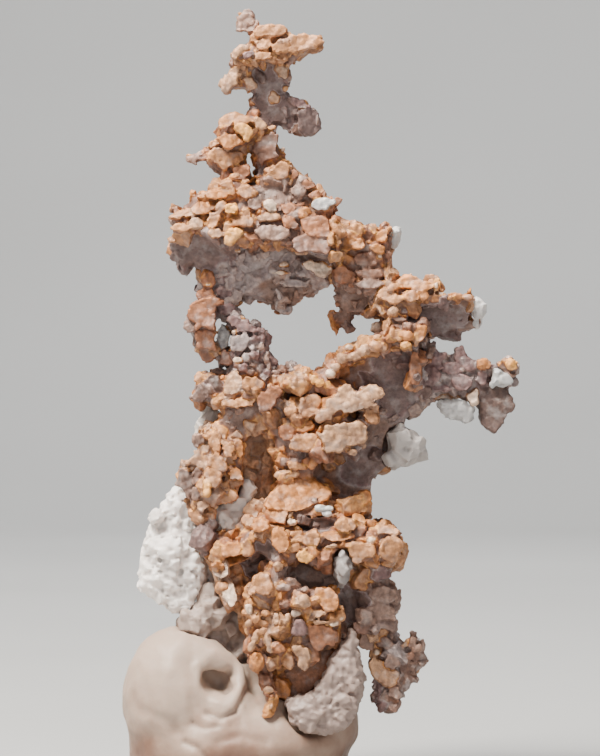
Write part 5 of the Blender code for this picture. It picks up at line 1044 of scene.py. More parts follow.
CENTRAL_LEAVES = [
    ("beige", 1.4, 8, [
        (8.2, 42.5), (9.0, 43.0), (9.4, 43.2), (9.5, 44.0), (10.0, 44.3), (10.8, 44.3), (11.2, 43.8),
        (11.6, 43.4), (12.0, 43.6), (12.3, 44.0), (13.0, 44.3), (13.8, 44.2), (14.5, 43.6), (14.8, 43.2),
        (14.4, 42.8), (13.6, 42.6), (12.9, 42.5), (13.9, 42.1), (13.2, 41.7), (12.4, 41.5), (11.6, 41.4),
        (11.0, 41.1), (10.2, 41.2), (9.8, 41.5), (9.2, 41.2), (8.9, 40.4), (8.0, 40.3), (7.3, 40.2),
        (7.2, 40.9), (7.5, 41.6), (8.2, 41.7)]),
    ("tan", 1.2, 5, [
        (12.4, 41.4), (13.2, 41.7), (13.9, 42.1), (13.9, 41.0), (14.0, 40.0), (13.2, 40.0), (12.5, 40.4),
        (12.2, 40.9)]),
    ("beige", 1.6, 8, [
        (7.0, 39.2), (7.8, 38.9), (8.0, 39.6), (8.6, 40.0), (9.6, 39.9), (10.3, 40.1), (11.3, 40.2),
        (11.9, 40.3), (12.3, 39.9), (12.7, 39.2), (12.6, 38.3), (12.3, 37.8), (11.5, 37.6), (10.6, 37.6),
        (10.2, 37.2), (9.9, 36.9), (9.0, 36.8), (8.2, 36.9), (7.9, 37.3), (8.0, 37.8), (7.7, 38.3)]),
    ("tan", 1.2, 10, [
        (5.3, 41.7), (5.5, 42.6), (6.0, 43.2), (6.9, 43.1), (7.6, 43.0), (7.6, 42.3), (7.2, 41.4),
        (7.0, 40.8), (6.2, 40.6), (5.5, 40.9)]),
    ("tan", 0.9, 10, [
        (3.4, 41.3), (3.7, 42.0), (4.4, 42.2), (5.0, 41.9), (5.1, 41.2), (4.5, 40.9), (3.8, 40.7)]),
    ("tan", 1.2, 10, [
        (4.3, 37.9), (4.8, 38.6), (5.8, 38.8), (6.8, 38.9), (7.4, 38.3), (7.0, 37.4), (6.3, 37.1),
        (5.0, 37.0), (4.3, 37.2)]),
    ("russet", 0.9, 5, [
        (3.0, 38.8), (3.2, 39.6), (4.0, 40.0), (4.7, 39.6), (4.8, 38.8), (4.2, 38.1), (3.4, 38.2)]),
    ("orange", 0.7, 10, [(4.8, 39.3), (5.0, 40.2), (6.0, 40.5), (7.0, 40.1), (6.8, 39.4), (5.8, 39.0)]),
    ("dark", 0.5, -5, [(4.3, 37.0), (5.5, 37.0), (6.4, 37.0), (6.2, 36.2), (5.6, 35.8), (5.0, 36.3)]),
    ("orange", 0.8, 0, [
        (6.4, 37.0), (7.1, 37.0), (7.1, 35.9), (7.0, 35.2), (6.5, 35.0), (6.2, 35.3), (6.6, 35.9)]),
    ("tan", 1.0, 15, [
        (3.9, 36.0), (4.8, 35.7), (5.9, 35.6), (6.3, 35.3), (5.8, 35.0), (4.6, 34.9), (4.0, 35.1)]),
    ("beige", 1.2, 15, [
        (2.3, 34.1), (3.2, 34.7), (4.2, 35.0), (5.1, 34.7), (5.2, 34.3), (4.3, 34.0), (3.3, 33.8)]),
    ("orange", 0.5, 35, [
        (1.4, 31.0), (1.9, 32.3), (3.3, 33.3), (4.7, 33.9), (5.6, 34.2), (6.2, 33.9), (6.9, 34.1),
        (7.3, 33.5), (8.2, 33.2), (8.8, 32.4), (8.3, 31.6), (7.2, 31.3), (6.2, 30.7), (5.0, 30.3),
        (3.0, 30.6), (2.0, 30.6)]),
    ("orange", 1.0, 10, [
        (9.2, 31.1), (10.1, 31.1), (11.0, 31.9), (11.9, 32.6), (12.7, 32.7), (13.3, 32.3), (13.2, 31.5),
        (12.5, 30.9), (11.5, 30.4), (10.4, 30.0), (9.4, 30.2)]),
    ("russet", 0.6, 0, [
        (17.5, 47.8), (18.3, 48.0), (18.6, 46.5), (18.8, 44.6), (18.2, 44.1), (17.5, 44.3),
        (17.4, 46.0)]),
    ("beige", 1.0, 5, [(1.9, 38.2), (2.4, 38.4), (2.9, 37.3), (2.9, 36.8), (2.4, 36.5), (2.0, 36.7)]),
    ("orange", 1.3, 15, [
        (17.1, 50.2), (17.6, 50.8), (18.4, 50.8), (19.2, 50.7), (19.0, 49.9), (18.9, 49.3), (18.4, 48.9),
        (17.6, 49.4)]),
    ("tan", 1.2, 20, [
        (15.0, 50.0), (15.6, 50.5), (16.6, 50.2), (17.0, 49.6), (16.3, 49.0), (15.3, 49.2)]),
    ("tan", 1.3, 15, [(16.4, 48.5), (17.1, 48.9), (17.7, 48.6), (17.5, 47.9), (16.6, 47.8)]),
]
CENTRAL_PEBBLES = [
    ("beige", 11.0, 36.9, 0.75, 0.5, 0, 1.0), ("beige", 12.3, 37.5, 0.35, 0.35, 0, 1.0),
    ("dun", 8.5, 36.3, 0.4, 0.25, 0, 1.0), ("gold", 4.5, 37.5, 0.45, 0.35, 0, 1.4),
    ("gold", 8.1, 33.0, 0.25, 0.3, 0, 1.0), ("gold", 8.5, 32.5, 0.25, 0.35, 0, 1.0),
    ("frost", 7.9, 30.7, 1.1, 0.4, 0, 1.0), ("frost", 8.3, 30.1, 0.6, 0.3, 0, 1.1),
    ("frost", 6.9, 30.3, 0.3, 0.4, 0, 1.1), ("dun", 6.9, 31.6, 0.45, 0.5, 0, 0.9),
    ("dun", 3.7, 35.8, 0.5, 0.5, 0, 0.9), ("beige", 14.7, 36.5, 0.6, 0.35, 0, 0.7),
    ("tan", 6.1, 45.6, 0.6, 0.5, 0, 0.9), ("gold", 6.9, 44.9, 0.5, 0.5, 0, 1.1),
    ("gold", 7.6, 44.5, 0.5, 0.5, 0, 1.1), ("gold", 8.3, 44.2, 0.5, 0.45, 0, 1.1),
    ("pale", 8.8, 45.5, 0.5, 0.5, 0, 1.0), ("beige", 9.2, 46.1, 0.5, 0.5, 0, 1.0),
    ("tan", 5.1, 44.8, 0.8, 0.35, 0, 0.9), ("orange", 4.2, 44.4, 0.9, 0.4, 0, 0.9),
    ("beige", 10.0, 47.2, 0.6, 0.6, 0, 1.1), ("pale", 10.8, 48.3, 0.45, 0.35, 0, 1.0),
    ("beige", 11.2, 47.3, 0.7, 0.5, 0, 1.1), ("beige", 12.3, 48.0, 0.7, 0.6, 0, 1.1),
    ("beige", 12.6, 46.9, 0.4, 0.4, 0, 1.0), ("tan", 13.6, 48.4, 0.7, 0.6, 0, 1.1),
    ("tan", 14.5, 48.3, 0.5, 0.6, 0, 1.1), ("tan", 13.9, 49.4, 0.6, 0.4, 0, 1.0),
    ("orange", 15.5, 49.4, 0.8, 0.6, 0, 1.2), ("orange", 16.9, 49.6, 0.9, 0.5, 0, 1.2),
    ("gold", 16.9, 48.5, 0.7, 0.45, 0, 1.2), ("tan", 15.9, 48.2, 0.6, 0.35, 0, 1.0),
    ("tan", 18.0, 49.2, 0.4, 0.8, 0, 1.2), ("pale", 13.9, 50.6, 0.8, 0.7, 0, 0.9),
    ("beige", 11.8, 31.8, 0.35, 1.5, 62, 1.6),
]

central_mass, points = grown(
    "copper_central_mass", 0.85, 4, ["brown", "russet", "orange", "tan", "beige"],
    CENTRAL_LEAVES, CENTRAL_PEBBLES,
    bare=[
        (15.8, 44, 2.6), (15.5, 40, 3), (14.5, 35.5, 3.2), (11.5, 34, 2.8), (11, 45.5, 1.3),
        (13.5, 46, 1.3), (5.5, 32.3, 2.4), (1.6, 38, 1.8), (1.4, 33.5, 1.2), (16.6, 33, 2)],
    # The dun and dusk patches are painted shade on the hollow wall, partly its dark patina; the beige one     is painted light in the cleft.
    shades=[
        ("dun", 15, 37, 5, 9), ("dusk", 15.8, 44.5, 3.2, 4.2), ("orange", 5, 32.3, 4.2, 1.9),
        ("beige", 1, 35.5, 1.6, 6), ("dusk", 12.5, 35, 3.2, 2.2)])
central_mass.data.materials.append(WARM)
finished(central_mass, points, "copper_central_mass", CRISP)


# ---------------------------------------------------------------- the copper's right arm
# The knobbed branch that reaches furthest right, tarnished violet, with a smooth drop at its end.

RIGHT_ARM_LEAVES = [
    ("violet", 0.8, 5, [
        (19.0, 48.2), (19.9, 48.6), (20.7, 48.0), (21.7, 47.8), (21.4, 47.1), (20.9, 46.7), (21.3, 46.0),
        (20.3, 45.9), (19.2, 46.4), (18.8, 47.3)]),
    ("violet", 0.9, 5, [
        (22.5, 48.3), (23.2, 48.6), (23.6, 48.0), (24.0, 47.3), (24.9, 46.9), (24.9, 46.0), (24.2, 45.7),
        (23.3, 46.2), (22.6, 46.9)]),
    ("violet", 0.8, 5, [
        (20.9, 46.6), (22.0, 46.9), (22.9, 46.4), (23.4, 45.6), (22.3, 45.3), (21.2, 45.7)]),
    ("violet", 1.0, 5, [
        (22.1, 45.3), (23.2, 45.5), (24.3, 45.0), (24.4, 44.2), (23.6, 43.5), (22.5, 43.9),
        (22.0, 44.6)]),
    ("violet", 0.7, 0, [
        (19.2, 46.2), (20.2, 46.3), (20.9, 45.6), (20.9, 44.6), (20.0, 44.2), (19.2, 44.9)]),
    ("violet", 0.8, 20, [
        (19.2, 44.4), (20.3, 44.5), (21.6, 44.2), (22.3, 43.7), (21.3, 43.4), (20.2, 43.5),
        (19.5, 43.9)]),
    ("orange", 1.0, 10, [
        (25.0, 46.9), (25.6, 47.1), (26.1, 47.1), (26.5, 46.6), (26.3, 46.0), (25.6, 45.9),
        (25.0, 46.2)]),
    ("gold", 1.2, 10, [
        (28.0, 46.5), (28.3, 47.0), (29.0, 47.1), (29.4, 46.7), (29.5, 46.0), (28.9, 45.8),
        (28.3, 45.9)]),
    ("dun", 0.8, 5, [
        (27.0, 46.8), (27.9, 46.9), (28.2, 46.2), (28.6, 45.6), (29.3, 45.4), (29.0, 45.0), (28.4, 45.0),
        (27.7, 45.8)]),
    ("dark", 0.6, 0, [
        (25.2, 44.0), (26.4, 44.1), (27.6, 44.1), (28.3, 43.9), (28.6, 43.2), (29.0, 42.2), (29.1, 41.5),
        (28.4, 41.0), (27.9, 40.4), (27.6, 39.6), (26.8, 38.8), (26.2, 39.3), (25.4, 40.0), (25.2, 41.3),
        (25.1, 42.8)]),
    ("violet", 0.7, 5, [
        (25.1, 45.7), (26.1, 45.8), (26.3, 45.1), (26.0, 44.3), (25.3, 44.2), (24.8, 44.9)]),
    ("pale", 1.0, 20, [
        (20.0, 43.2), (20.6, 43.6), (21.6, 43.4), (22.6, 43.2), (23.4, 42.8), (22.6, 42.6), (21.4, 42.8),
        (20.6, 42.6)]),
    ("pale", 1.1, 10, [
        (23.7, 42.9), (24.4, 43.6), (25.0, 43.9), (25.2, 43.2), (25.0, 42.3), (24.4, 41.9)]),
]
RIGHT_ARM_PEBBLES = [("pale", 19.3, 42.3, 0.3, 0.3, 0, 0.8), ("dun", 19.2, 45.4, 0.35, 0.25, 0, 0.9)]

right_arm, points = grown(
    "copper_right_arm", 0.55, 5, ["violet", "ash", "ash", "dun", "beige"],
    RIGHT_ARM_LEAVES, RIGHT_ARM_PEBBLES,
    # The dusk patch on the drop is painted shade, partly dark patina.
    shades=[("dusk", 27.3, 41.6, 2.4, 3.2)],
    base="violet")
right_arm.data.materials.append(PLUM)
finished(right_arm, points, "copper_right_arm", CRISP)


# ---------------------------------------------------------------- the copper's left limb
# A crust of leaves that climbs the left side, light on its outer edge and violet-grey within.

LEFT_LIMB_LEAVES = [
    ("russet", 1.3, 10, [
        (-6.8, 53.0), (-6.3, 53.5), (-5.5, 53.8), (-4.4, 53.9), (-3.5, 53.6), (-3.1, 53.3), (-3.8, 52.9),
        (-4.0, 52.2), (-3.9, 51.6), (-4.1, 50.9), (-4.0, 50.2), (-4.6, 50.5), (-5.6, 50.7), (-6.1, 50.2),
        (-6.3, 51.2), (-7.0, 51.6), (-7.0, 52.4)]),
    ("dun", 1.2, 10, [
        (-7.6, 50.8), (-7.3, 51.3), (-6.6, 51.6), (-6.1, 51.1), (-6.1, 50.4), (-6.6, 50.0),
        (-7.3, 49.9)]),
    ("russet", 1.0, 5, [
        (-6.2, 50.2), (-5.0, 50.4), (-4.2, 50.1), (-4.1, 49.4), (-4.0, 48.6), (-3.8, 47.9), (-4.8, 48.1),
        (-5.4, 48.3), (-6.1, 48.2), (-6.2, 49.0)]),
    ("russet", 0.7, -15, [
        (-6.1, 48.0), (-5.3, 48.2), (-4.6, 47.9), (-3.9, 47.8), (-4.4, 47.0), (-5.0, 46.6),
        (-5.5, 47.1)]),
    ("dun", 0.6, 0, [(-6.6, 48.9), (-6.3, 49.8), (-6.0, 49.2), (-5.9, 48.4), (-6.3, 48.4)]),
    ("russet", 1.1, 10, [
        (-6.1, 54.6), (-5.2, 54.9), (-4.6, 55.0), (-4.1, 54.3), (-4.0, 53.8), (-4.9, 53.7), (-5.8, 53.8),
        (-6.2, 54.1)]),
    ("russet", 0.9, 5, [
        (-5.7, 56.0), (-5.2, 56.7), (-4.5, 56.8), (-4.1, 56.2), (-4.1, 55.3), (-4.8, 55.0),
        (-5.5, 55.1)]),
    ("violet", 0.8, 5, [
        (-3.9, 52.7), (-3.3, 53.2), (-2.4, 53.3), (-1.8, 52.9), (-1.7, 52.4), (-2.3, 51.9),
        (-3.2, 52.0)]),
    ("violet", 1.2, 10, [
        (-2.8, 51.5), (-2.1, 51.9), (-1.4, 51.9), (-0.9, 51.5), (-0.2, 51.5), (-0.1, 50.9), (0.4, 50.4),
        (1.3, 50.6), (1.5, 50.3), (1.4, 49.9), (0.3, 50.0), (-0.8, 50.0), (-1.6, 50.1), (-1.9, 50.7),
        (-2.4, 50.8)]),
    ("ash", 1.1, 5, [
        (-2.4, 48.8), (-2.1, 49.5), (-1.3, 49.8), (-0.4, 49.9), (-0.1, 49.3), (-0.4, 48.6), (-0.9, 47.9),
        (-1.8, 47.9), (-2.3, 48.2)]),
    ("brown", 0.9, 0, [
        (-3.7, 46.5), (-3.5, 47.3), (-3.2, 48.1), (-2.6, 47.9), (-2.4, 47.3), (-2.1, 46.6),
        (-2.9, 46.4)]),
    ("frost", 0.9, 5, [
        (-3.9, 50.4), (-3.3, 51.1), (-2.8, 50.6), (-2.4, 49.9), (-2.5, 49.0), (-2.8, 48.3), (-3.5, 48.0),
        (-3.8, 48.8), (-4.0, 49.6)]),
]
LEFT_LIMB_PEBBLES = [
    ("violet", 0.4, 49.3, 0.55, 0.55, 0, 1.1), ("violet", 1.1, 49.3, 0.5, 0.6, 0, 1.1),
    ("dun", 0.9, 48.4, 0.5, 0.5, 0, 1.1), ("ash", 0.1, 48.4, 0.5, 0.5, 0, 1.1),
    ("violet", 0.3, 47.5, 0.6, 0.5, 0, 1.1), ("ash", -0.6, 47.3, 0.5, 0.5, 0, 1.0),
    ("dun", 0.2, 46.5, 0.7, 0.5, 0, 1.0), ("dun", -0.1, 45.6, 0.5, 0.5, 0, 1.0),
    ("violet", -0.9, 46.1, 0.5, 0.5, 0, 1.0), ("ash", 0.9, 46.0, 0.4, 0.6, 0, 1.1),
    ("dun", 1.7, 47.2, 0.3, 0.8, 8, 1.3), ("dun", 1.9, 46.4, 0.35, 0.6, 0, 1.2),
    ("violet", 1.7, 45.6, 0.5, 0.3, 0, 1.1), ("dun", 2.7, 45.6, 0.45, 0.35, 0, 1.1),
    ("brown", 3.4, 46.0, 0.75, 0.55, 40, 1.1), ("brown", 3.9, 46.3, 0.35, 0.6, -15, 1.1),
    ("brown", -1.4, 46.3, 0.5, 0.4, 0, 0.9), ("pale", -2.2, 47.6, 0.55, 0.2, 0, 1.2),
    ("pale", -1.5, 47.0, 0.5, 0.3, 0, 1.2), ("pale", -1.9, 50.1, 0.3, 0.25, 0, 1.2),
    ("pale", -1.0, 51.6, 0.3, 0.25, 0, 1.2), ("pale", -4.8, 55.3, 0.3, 0.2, 0, 1.2),
]

left_limb, points = grown(
    "copper_left_limb", 0.6, 6, ["violet", "violet", "ash", "ash", "beige"],
    LEFT_LIMB_LEAVES, LEFT_LIMB_PEBBLES,
    base="violet")
left_limb.data.materials.append(PLUM)
finished(left_limb, points, "copper_left_limb", CRISP)


# ---------------------------------------------------------------- the copper's upper mass
# A shelf of small bright crystals over a dusty grey-brown curtain of metal.

UPPER_MASS_LEAVES = [
    ("orange", 1.0, 40, [
        (-6.8, 63.6), (-6.0, 64.4), (-5.0, 64.9), (-4.2, 64.7), (-3.9, 63.9), (-4.5, 63.2), (-5.6, 62.9),
        (-6.6, 63.1)]),
    ("tan", 1.0, 40, [
        (-9.3, 62.7), (-8.2, 63.3), (-7.0, 63.6), (-5.8, 63.1), (-6.6, 62.7), (-7.6, 62.7),
        (-8.6, 62.5)]),
    ("tan", 1.0, 20, [
        (-9.0, 61.6), (-7.9, 62.0), (-7.0, 61.9), (-6.2, 61.5), (-7.1, 61.1), (-8.2, 61.2),
        (-8.7, 61.3)]),
    ("beige", 1.1, 20, [
        (-7.1, 62.1), (-6.3, 62.7), (-5.4, 62.4), (-5.2, 61.7), (-6.0, 61.3), (-6.8, 61.5)]),
    ("tan", 1.0, 25, [
        (-9.1, 60.4), (-8.2, 61.0), (-7.4, 61.1), (-7.9, 60.5), (-8.4, 60.0), (-9.1, 60.0)]),
    ("orange", 1.3, 30, [
        (-5.2, 65.3), (-3.9, 65.9), (-2.6, 66.0), (-1.8, 65.5), (-2.6, 64.9), (-3.8, 64.6),
        (-4.9, 64.7)]),
    ("tan", 1.3, 10, [
        (-3.6, 66.5), (-2.8, 66.8), (-2.2, 66.6), (-1.9, 66.0), (-1.7, 65.2), (-2.2, 65.0), (-2.7, 65.9),
        (-3.4, 66.0)]),
    ("tan", 1.3, 10, [
        (-1.6, 65.9), (-0.8, 66.3), (0.2, 66.0), (0.8, 65.3), (0.1, 64.9), (-0.8, 64.7), (-1.5, 65.1)]),
    ("gold", 1.6, 15, [
        (-2.9, 63.7), (-2.6, 64.2), (-1.7, 64.1), (-1.4, 63.5), (-1.7, 62.9), (-2.4, 62.9),
        (-2.9, 63.2)]),
    ("tan", 1.4, 15, [
        (-4.8, 62.6), (-4.4, 63.2), (-3.7, 63.2), (-3.3, 62.6), (-3.7, 61.8), (-4.4, 61.3),
        (-4.9, 61.8)]),
    ("tan", 1.3, 25, [
        (-3.9, 64.2), (-3.2, 64.6), (-2.7, 64.2), (-2.9, 63.5), (-3.4, 63.0), (-3.9, 63.5)]),
    ("tan", 1.4, 25, [
        (-2.3, 62.6), (-1.2, 62.8), (-0.1, 62.9), (0.4, 62.2), (0.0, 61.5), (-0.9, 61.7), (-2.0, 61.6)]),
    ("gold", 1.6, 10, [
        (-3.0, 60.9), (-2.3, 61.3), (-1.5, 61.4), (-0.9, 60.9), (-1.3, 60.3), (-2.0, 59.6),
        (-2.8, 59.6)]),
    ("beige", 1.2, 25, [
        (-4.9, 61.0), (-4.2, 61.5), (-3.4, 61.2), (-2.9, 60.6), (-3.6, 60.3), (-4.4, 60.5)]),
    ("dun", 1.3, 20, [
        (0.4, 61.0), (1.0, 61.6), (2.3, 61.9), (3.4, 61.5), (4.2, 61.1), (4.2, 60.5), (3.2, 60.0),
        (2.0, 60.1), (1.0, 60.3)]),
    ("beige", 1.3, 35, [(0.5, 62.6), (1.4, 63.1), (2.6, 63.2), (3.4, 62.6), (2.4, 62.2), (1.2, 62.1)]),
    ("pale", 1.2, 10, [(1.2, 64.4), (1.9, 64.8), (2.7, 64.2), (2.9, 63.4), (2.2, 63.2), (1.4, 63.5)]),
    ("dun", 1.0, 10, [(-0.4, 64.5), (0.5, 65.2), (1.2, 64.7), (1.2, 63.8), (0.4, 63.4), (-0.4, 63.7)]),
    ("dun", 1.1, 10, [(4.4, 66.2), (5.3, 66.4), (6.0, 65.8), (5.8, 65.1), (4.8, 65.0), (4.2, 65.4)]),
    ("russet", 1.0, 20, [(5.1, 66.4), (5.8, 66.7), (6.8, 66.6), (7.3, 66.2), (6.6, 65.8), (5.6, 65.9)]),
    ("russet", 1.0, 20, [(6.2, 65.2), (7.2, 65.7), (7.8, 65.3), (7.5, 64.7), (6.5, 64.6)]),
    ("frost", 1.0, 10, [
        (6.4, 64.0), (6.9, 64.7), (8.1, 64.8), (9.1, 64.7), (9.3, 64.2), (8.6, 63.9), (8.3, 63.4),
        (7.2, 63.4)]),
    ("orange", 1.2, 20, [(5.1, 63.5), (6.0, 63.8), (6.6, 63.3), (6.1, 62.6), (5.2, 62.6)]),
    ("russet", 1.0, 15, [(3.1, 64.0), (4.2, 64.3), (5.0, 63.8), (4.6, 63.1), (3.4, 63.0)]),
    ("russet", 1.2, 15, [
        (5.4, 62.4), (6.8, 62.8), (8.2, 62.7), (8.6, 61.7), (8.7, 60.6), (7.6, 60.3), (6.4, 60.6),
        (5.5, 61.3)]),
    ("russet", 1.1, 15, [(3.6, 63.0), (4.6, 62.8), (5.2, 62.0), (4.8, 61.2), (3.9, 61.4), (3.3, 62.2)]),
    ("brown", 1.2, 25, [
        (4.4, 60.3), (5.6, 60.8), (7.1, 60.6), (8.6, 60.1), (8.8, 59.2), (8.4, 58.4), (7.3, 58.6),
        (6.4, 58.9), (5.3, 58.6), (4.5, 59.2)]),
    ("pale", 1.2, 10, [
        (5.5, 57.7), (6.5, 57.9), (7.7, 57.8), (8.7, 57.6), (8.8, 56.8), (8.2, 56.2), (7.4, 56.2),
        (6.7, 56.9), (6.0, 57.2)]),
    ("ash", 1.0, 10, [
        (3.1, 55.6), (3.9, 55.9), (5.2, 55.8), (6.5, 55.9), (6.2, 55.2), (4.9, 55.0), (3.7, 55.1)]),
    ("ash", 0.7, 0, [
        (2.6, 53.6), (3.2, 53.9), (3.6, 53.2), (4.5, 53.0), (4.5, 52.3), (3.3, 51.9), (2.7, 52.6)]),
]
UPPER_MASS_PEBBLES = [
    ("ash", -1.2, 56.2, 0.25, 0.6, 0, 0.9), ("pale", 3.0, 56.6, 0.9, 0.2, 0, 0.9),
    ("ash", 5.6, 56.6, 0.9, 0.35, 0, 1.0), ("ash", 3.0, 54.2, 0.25, 0.8, -25, 0.9),
    ("ash", 1.7, 57.5, 0.25, 0.5, 0, 0.9), ("pale", 3.6, 57.6, 0.5, 0.3, 0, 0.9),
    ("pale", -0.9, 55.6, 0.4, 0.4, 0, 0.9), ("pale", -1.5, 59.1, 0.35, 0.3, 0, 1.0),
]

upper_mass, points = grown(
    "copper_upper_mass", 0.7, 7, ["brown", "russet", "orange", "tan", "tan", "beige"],
    UPPER_MASS_LEAVES, UPPER_MASS_PEBBLES,
    bare=[(-6, 58.6, 2.2), (-4, 58.4, 1.5), (0.5, 55.5, 2.2), (2.5, 58.6, 1), (6.8, 58.2, 1.4)],
    # The dusk patch under the shelf and the dark one at x 6.8 are painted shade; the ash one is the     curtain's grey dust.
    shades=[
        ("russet", 5.5, 62.5, 4.5, 3.0), ("dun", 3.0, 65.5, 3.5, 1.8), ("dun", 3.0, 61.8, 3.0, 1.6),
        ("ash", 2, 56.0, 7, 3.4), ("dusk", -6, 58.8, 4, 2), ("dun", 4, 54.5, 3, 2),
        ("dark", 6.8, 58.3, 2, 0.6)])
upper_mass.data.materials.append(WARM)
finished(upper_mass, points, "copper_upper_mass", CRISP)


# ---------------------------------------------------------------- the copper's right shoulder
# Bright leaves on its ridge, and dark prongs and hooks of metal hanging below it.

SHOULDER_LEAVES = [
    ("orange", 1.2, 20, [
        (9.3, 59.4), (9.9, 60.3), (11.2, 60.5), (12.4, 60.2), (12.6, 59.5), (11.6, 59.1), (10.4, 59.0)]),
    ("tan", 1.1, 20, [(9.4, 61.3), (9.9, 61.7), (10.4, 62.3), (10.9, 61.8), (10.8, 61.0), (10.0, 60.8)]),
    ("tan", 1.1, 15, [
        (11.0, 61.9), (12.0, 62.1), (12.9, 61.8), (12.6, 61.0), (11.6, 60.7), (11.0, 61.1)]),
    ("tan", 1.1, 15, [(12.9, 62.0), (13.5, 62.1), (14.0, 61.5), (13.7, 60.8), (13.0, 60.9)]),
    ("orange", 1.1, 10, [
        (13.2, 60.5), (14.2, 61.2), (15.2, 61.9), (15.7, 61.7), (15.1, 60.9), (14.8, 60.1),
        (13.9, 59.9)]),
    ("orange", 1.1, 15, [(13.0, 59.6), (14.1, 59.8), (14.9, 59.3), (14.6, 58.7), (13.6, 58.7)]),
    ("brown", 0.8, 5, [
        (11.0, 58.3), (12.0, 58.9), (13.4, 58.6), (14.0, 57.6), (13.0, 57.1), (11.6, 57.3)]),
    ("brown", 0.9, 10, [
        (11.2, 56.9), (12.6, 57.1), (14.2, 57.0), (14.6, 56.2), (13.6, 55.8), (12.0, 56.0)]),
    ("dun", 1.1, 25, [
        (11.0, 55.4), (12.2, 55.8), (13.6, 55.9), (14.8, 55.4), (13.8, 54.9), (12.2, 54.8)]),
    ("beige", 0.7, 0, [(9.4, 58.7), (9.8, 58.9), (10.0, 58.0), (9.9, 57.2), (9.5, 57.3)]),
]
SHOULDER_PEBBLES = [("pale", 14.1, 58.4, 0.3, 0.35, 0, 1.1)]

right_shoulder, points = grown(
    "copper_right_shoulder", 0.7, 8, ["brown", "russet", "orange", "tan", "beige"],
    SHOULDER_LEAVES, SHOULDER_PEBBLES,
    bare=[(11.5, 53, 1.6)],
    shades=[("dun", 11.5, 52.6, 4, 3.0)])
right_shoulder.data.materials.append(WARM)
finished(right_shoulder, points, "copper_right_shoulder", CRISP)


# ---------------------------------------------------------------- the copper's right ledge
# A flat ledge of leaves with crystals along its top and a smooth dark blade out to the right.

LEDGE_LEAVES = [
    ("orange", 1.2, 25, [
        (16.0, 55.5), (16.5, 56.2), (17.4, 56.5), (18.2, 56.2), (19.0, 55.8), (19.9, 55.8), (20.2, 55.2),
        (19.5, 54.6), (18.4, 54.4), (17.3, 54.9), (16.3, 54.9)]),
    ("gold", 1.3, 15, [
        (19.8, 55.2), (20.0, 55.8), (20.6, 56.0), (20.9, 55.5), (20.7, 54.8), (20.2, 54.5)]),
    ("tan", 1.3, 20, [
        (14.9, 55.0), (15.4, 55.6), (16.1, 55.3), (16.2, 54.7), (15.5, 54.4), (14.9, 54.5)]),
    ("tan", 1.3, 20, [
        (13.6, 54.1), (14.3, 54.9), (15.3, 55.0), (15.9, 54.3), (16.8, 54.0), (16.6, 53.3), (15.4, 53.2),
        (14.4, 53.5)]),
    ("orange", 1.3, 20, [
        (16.6, 54.4), (17.7, 54.7), (18.5, 54.3), (18.4, 53.5), (17.2, 53.3), (16.5, 53.8)]),
    ("orange", 1.3, 20, [(18.2, 54.8), (19.4, 54.6), (19.8, 54.0), (19.0, 53.4), (18.3, 53.5)]),
    ("dun", 0.5, 10, [
        (22.4, 50.7), (23.4, 51.2), (24.6, 51.4), (25.3, 51.8), (25.3, 51.0), (24.2, 50.3),
        (23.0, 50.2)]),
]
LEDGE_PEBBLES = [
    ("pale", 20.3, 55.2, 0.25, 0.35, 0, 1.4), ("pale", 21.0, 54.2, 0.5, 0.35, 0, 1.0),
    ("tan", 21.9, 53.8, 0.4, 0.3, 0, 1.0), ("orange", 22.7, 53.9, 0.6, 0.35, 0, 1.0),
    ("tan", 23.9, 53.8, 0.6, 0.45, 0, 1.0), ("beige", 15.6, 52.3, 0.65, 0.6, 0, 1.0),
    ("pale", 17.1, 52.2, 0.35, 0.3, 0, 1.0), ("dun", 16.3, 51.5, 0.9, 0.3, 10, 1.0),
    ("pale", 14.9, 53.0, 0.4, 0.25, 0, 1.0), ("tan", 15.6, 56.3, 0.3, 0.5, 10, 1.1),
]

right_ledge, points = grown(
    "copper_right_ledge", 0.7, 9, ["brown", "orange", "orange", "tan", "beige"],
    LEDGE_LEAVES, LEDGE_PEBBLES,
    bare=[(20, 51.3, 1.9), (22.5, 51.6, 1.9), (24.5, 52, 1.5), (18.2, 51.2, 1.3)],
    # The dusk patch is painted shade on the blade, which faces down, partly its tarnish.
    shades=[("dusk", 21, 51.4, 4.5, 2.0)])
right_ledge.data.materials.append(WARM)
finished(right_ledge, points, "copper_right_ledge", CRISP)


# ---------------------------------------------------------------- the copper's neck
# The narrow stem between the upper mass and the top sprig, with a spike to its left.

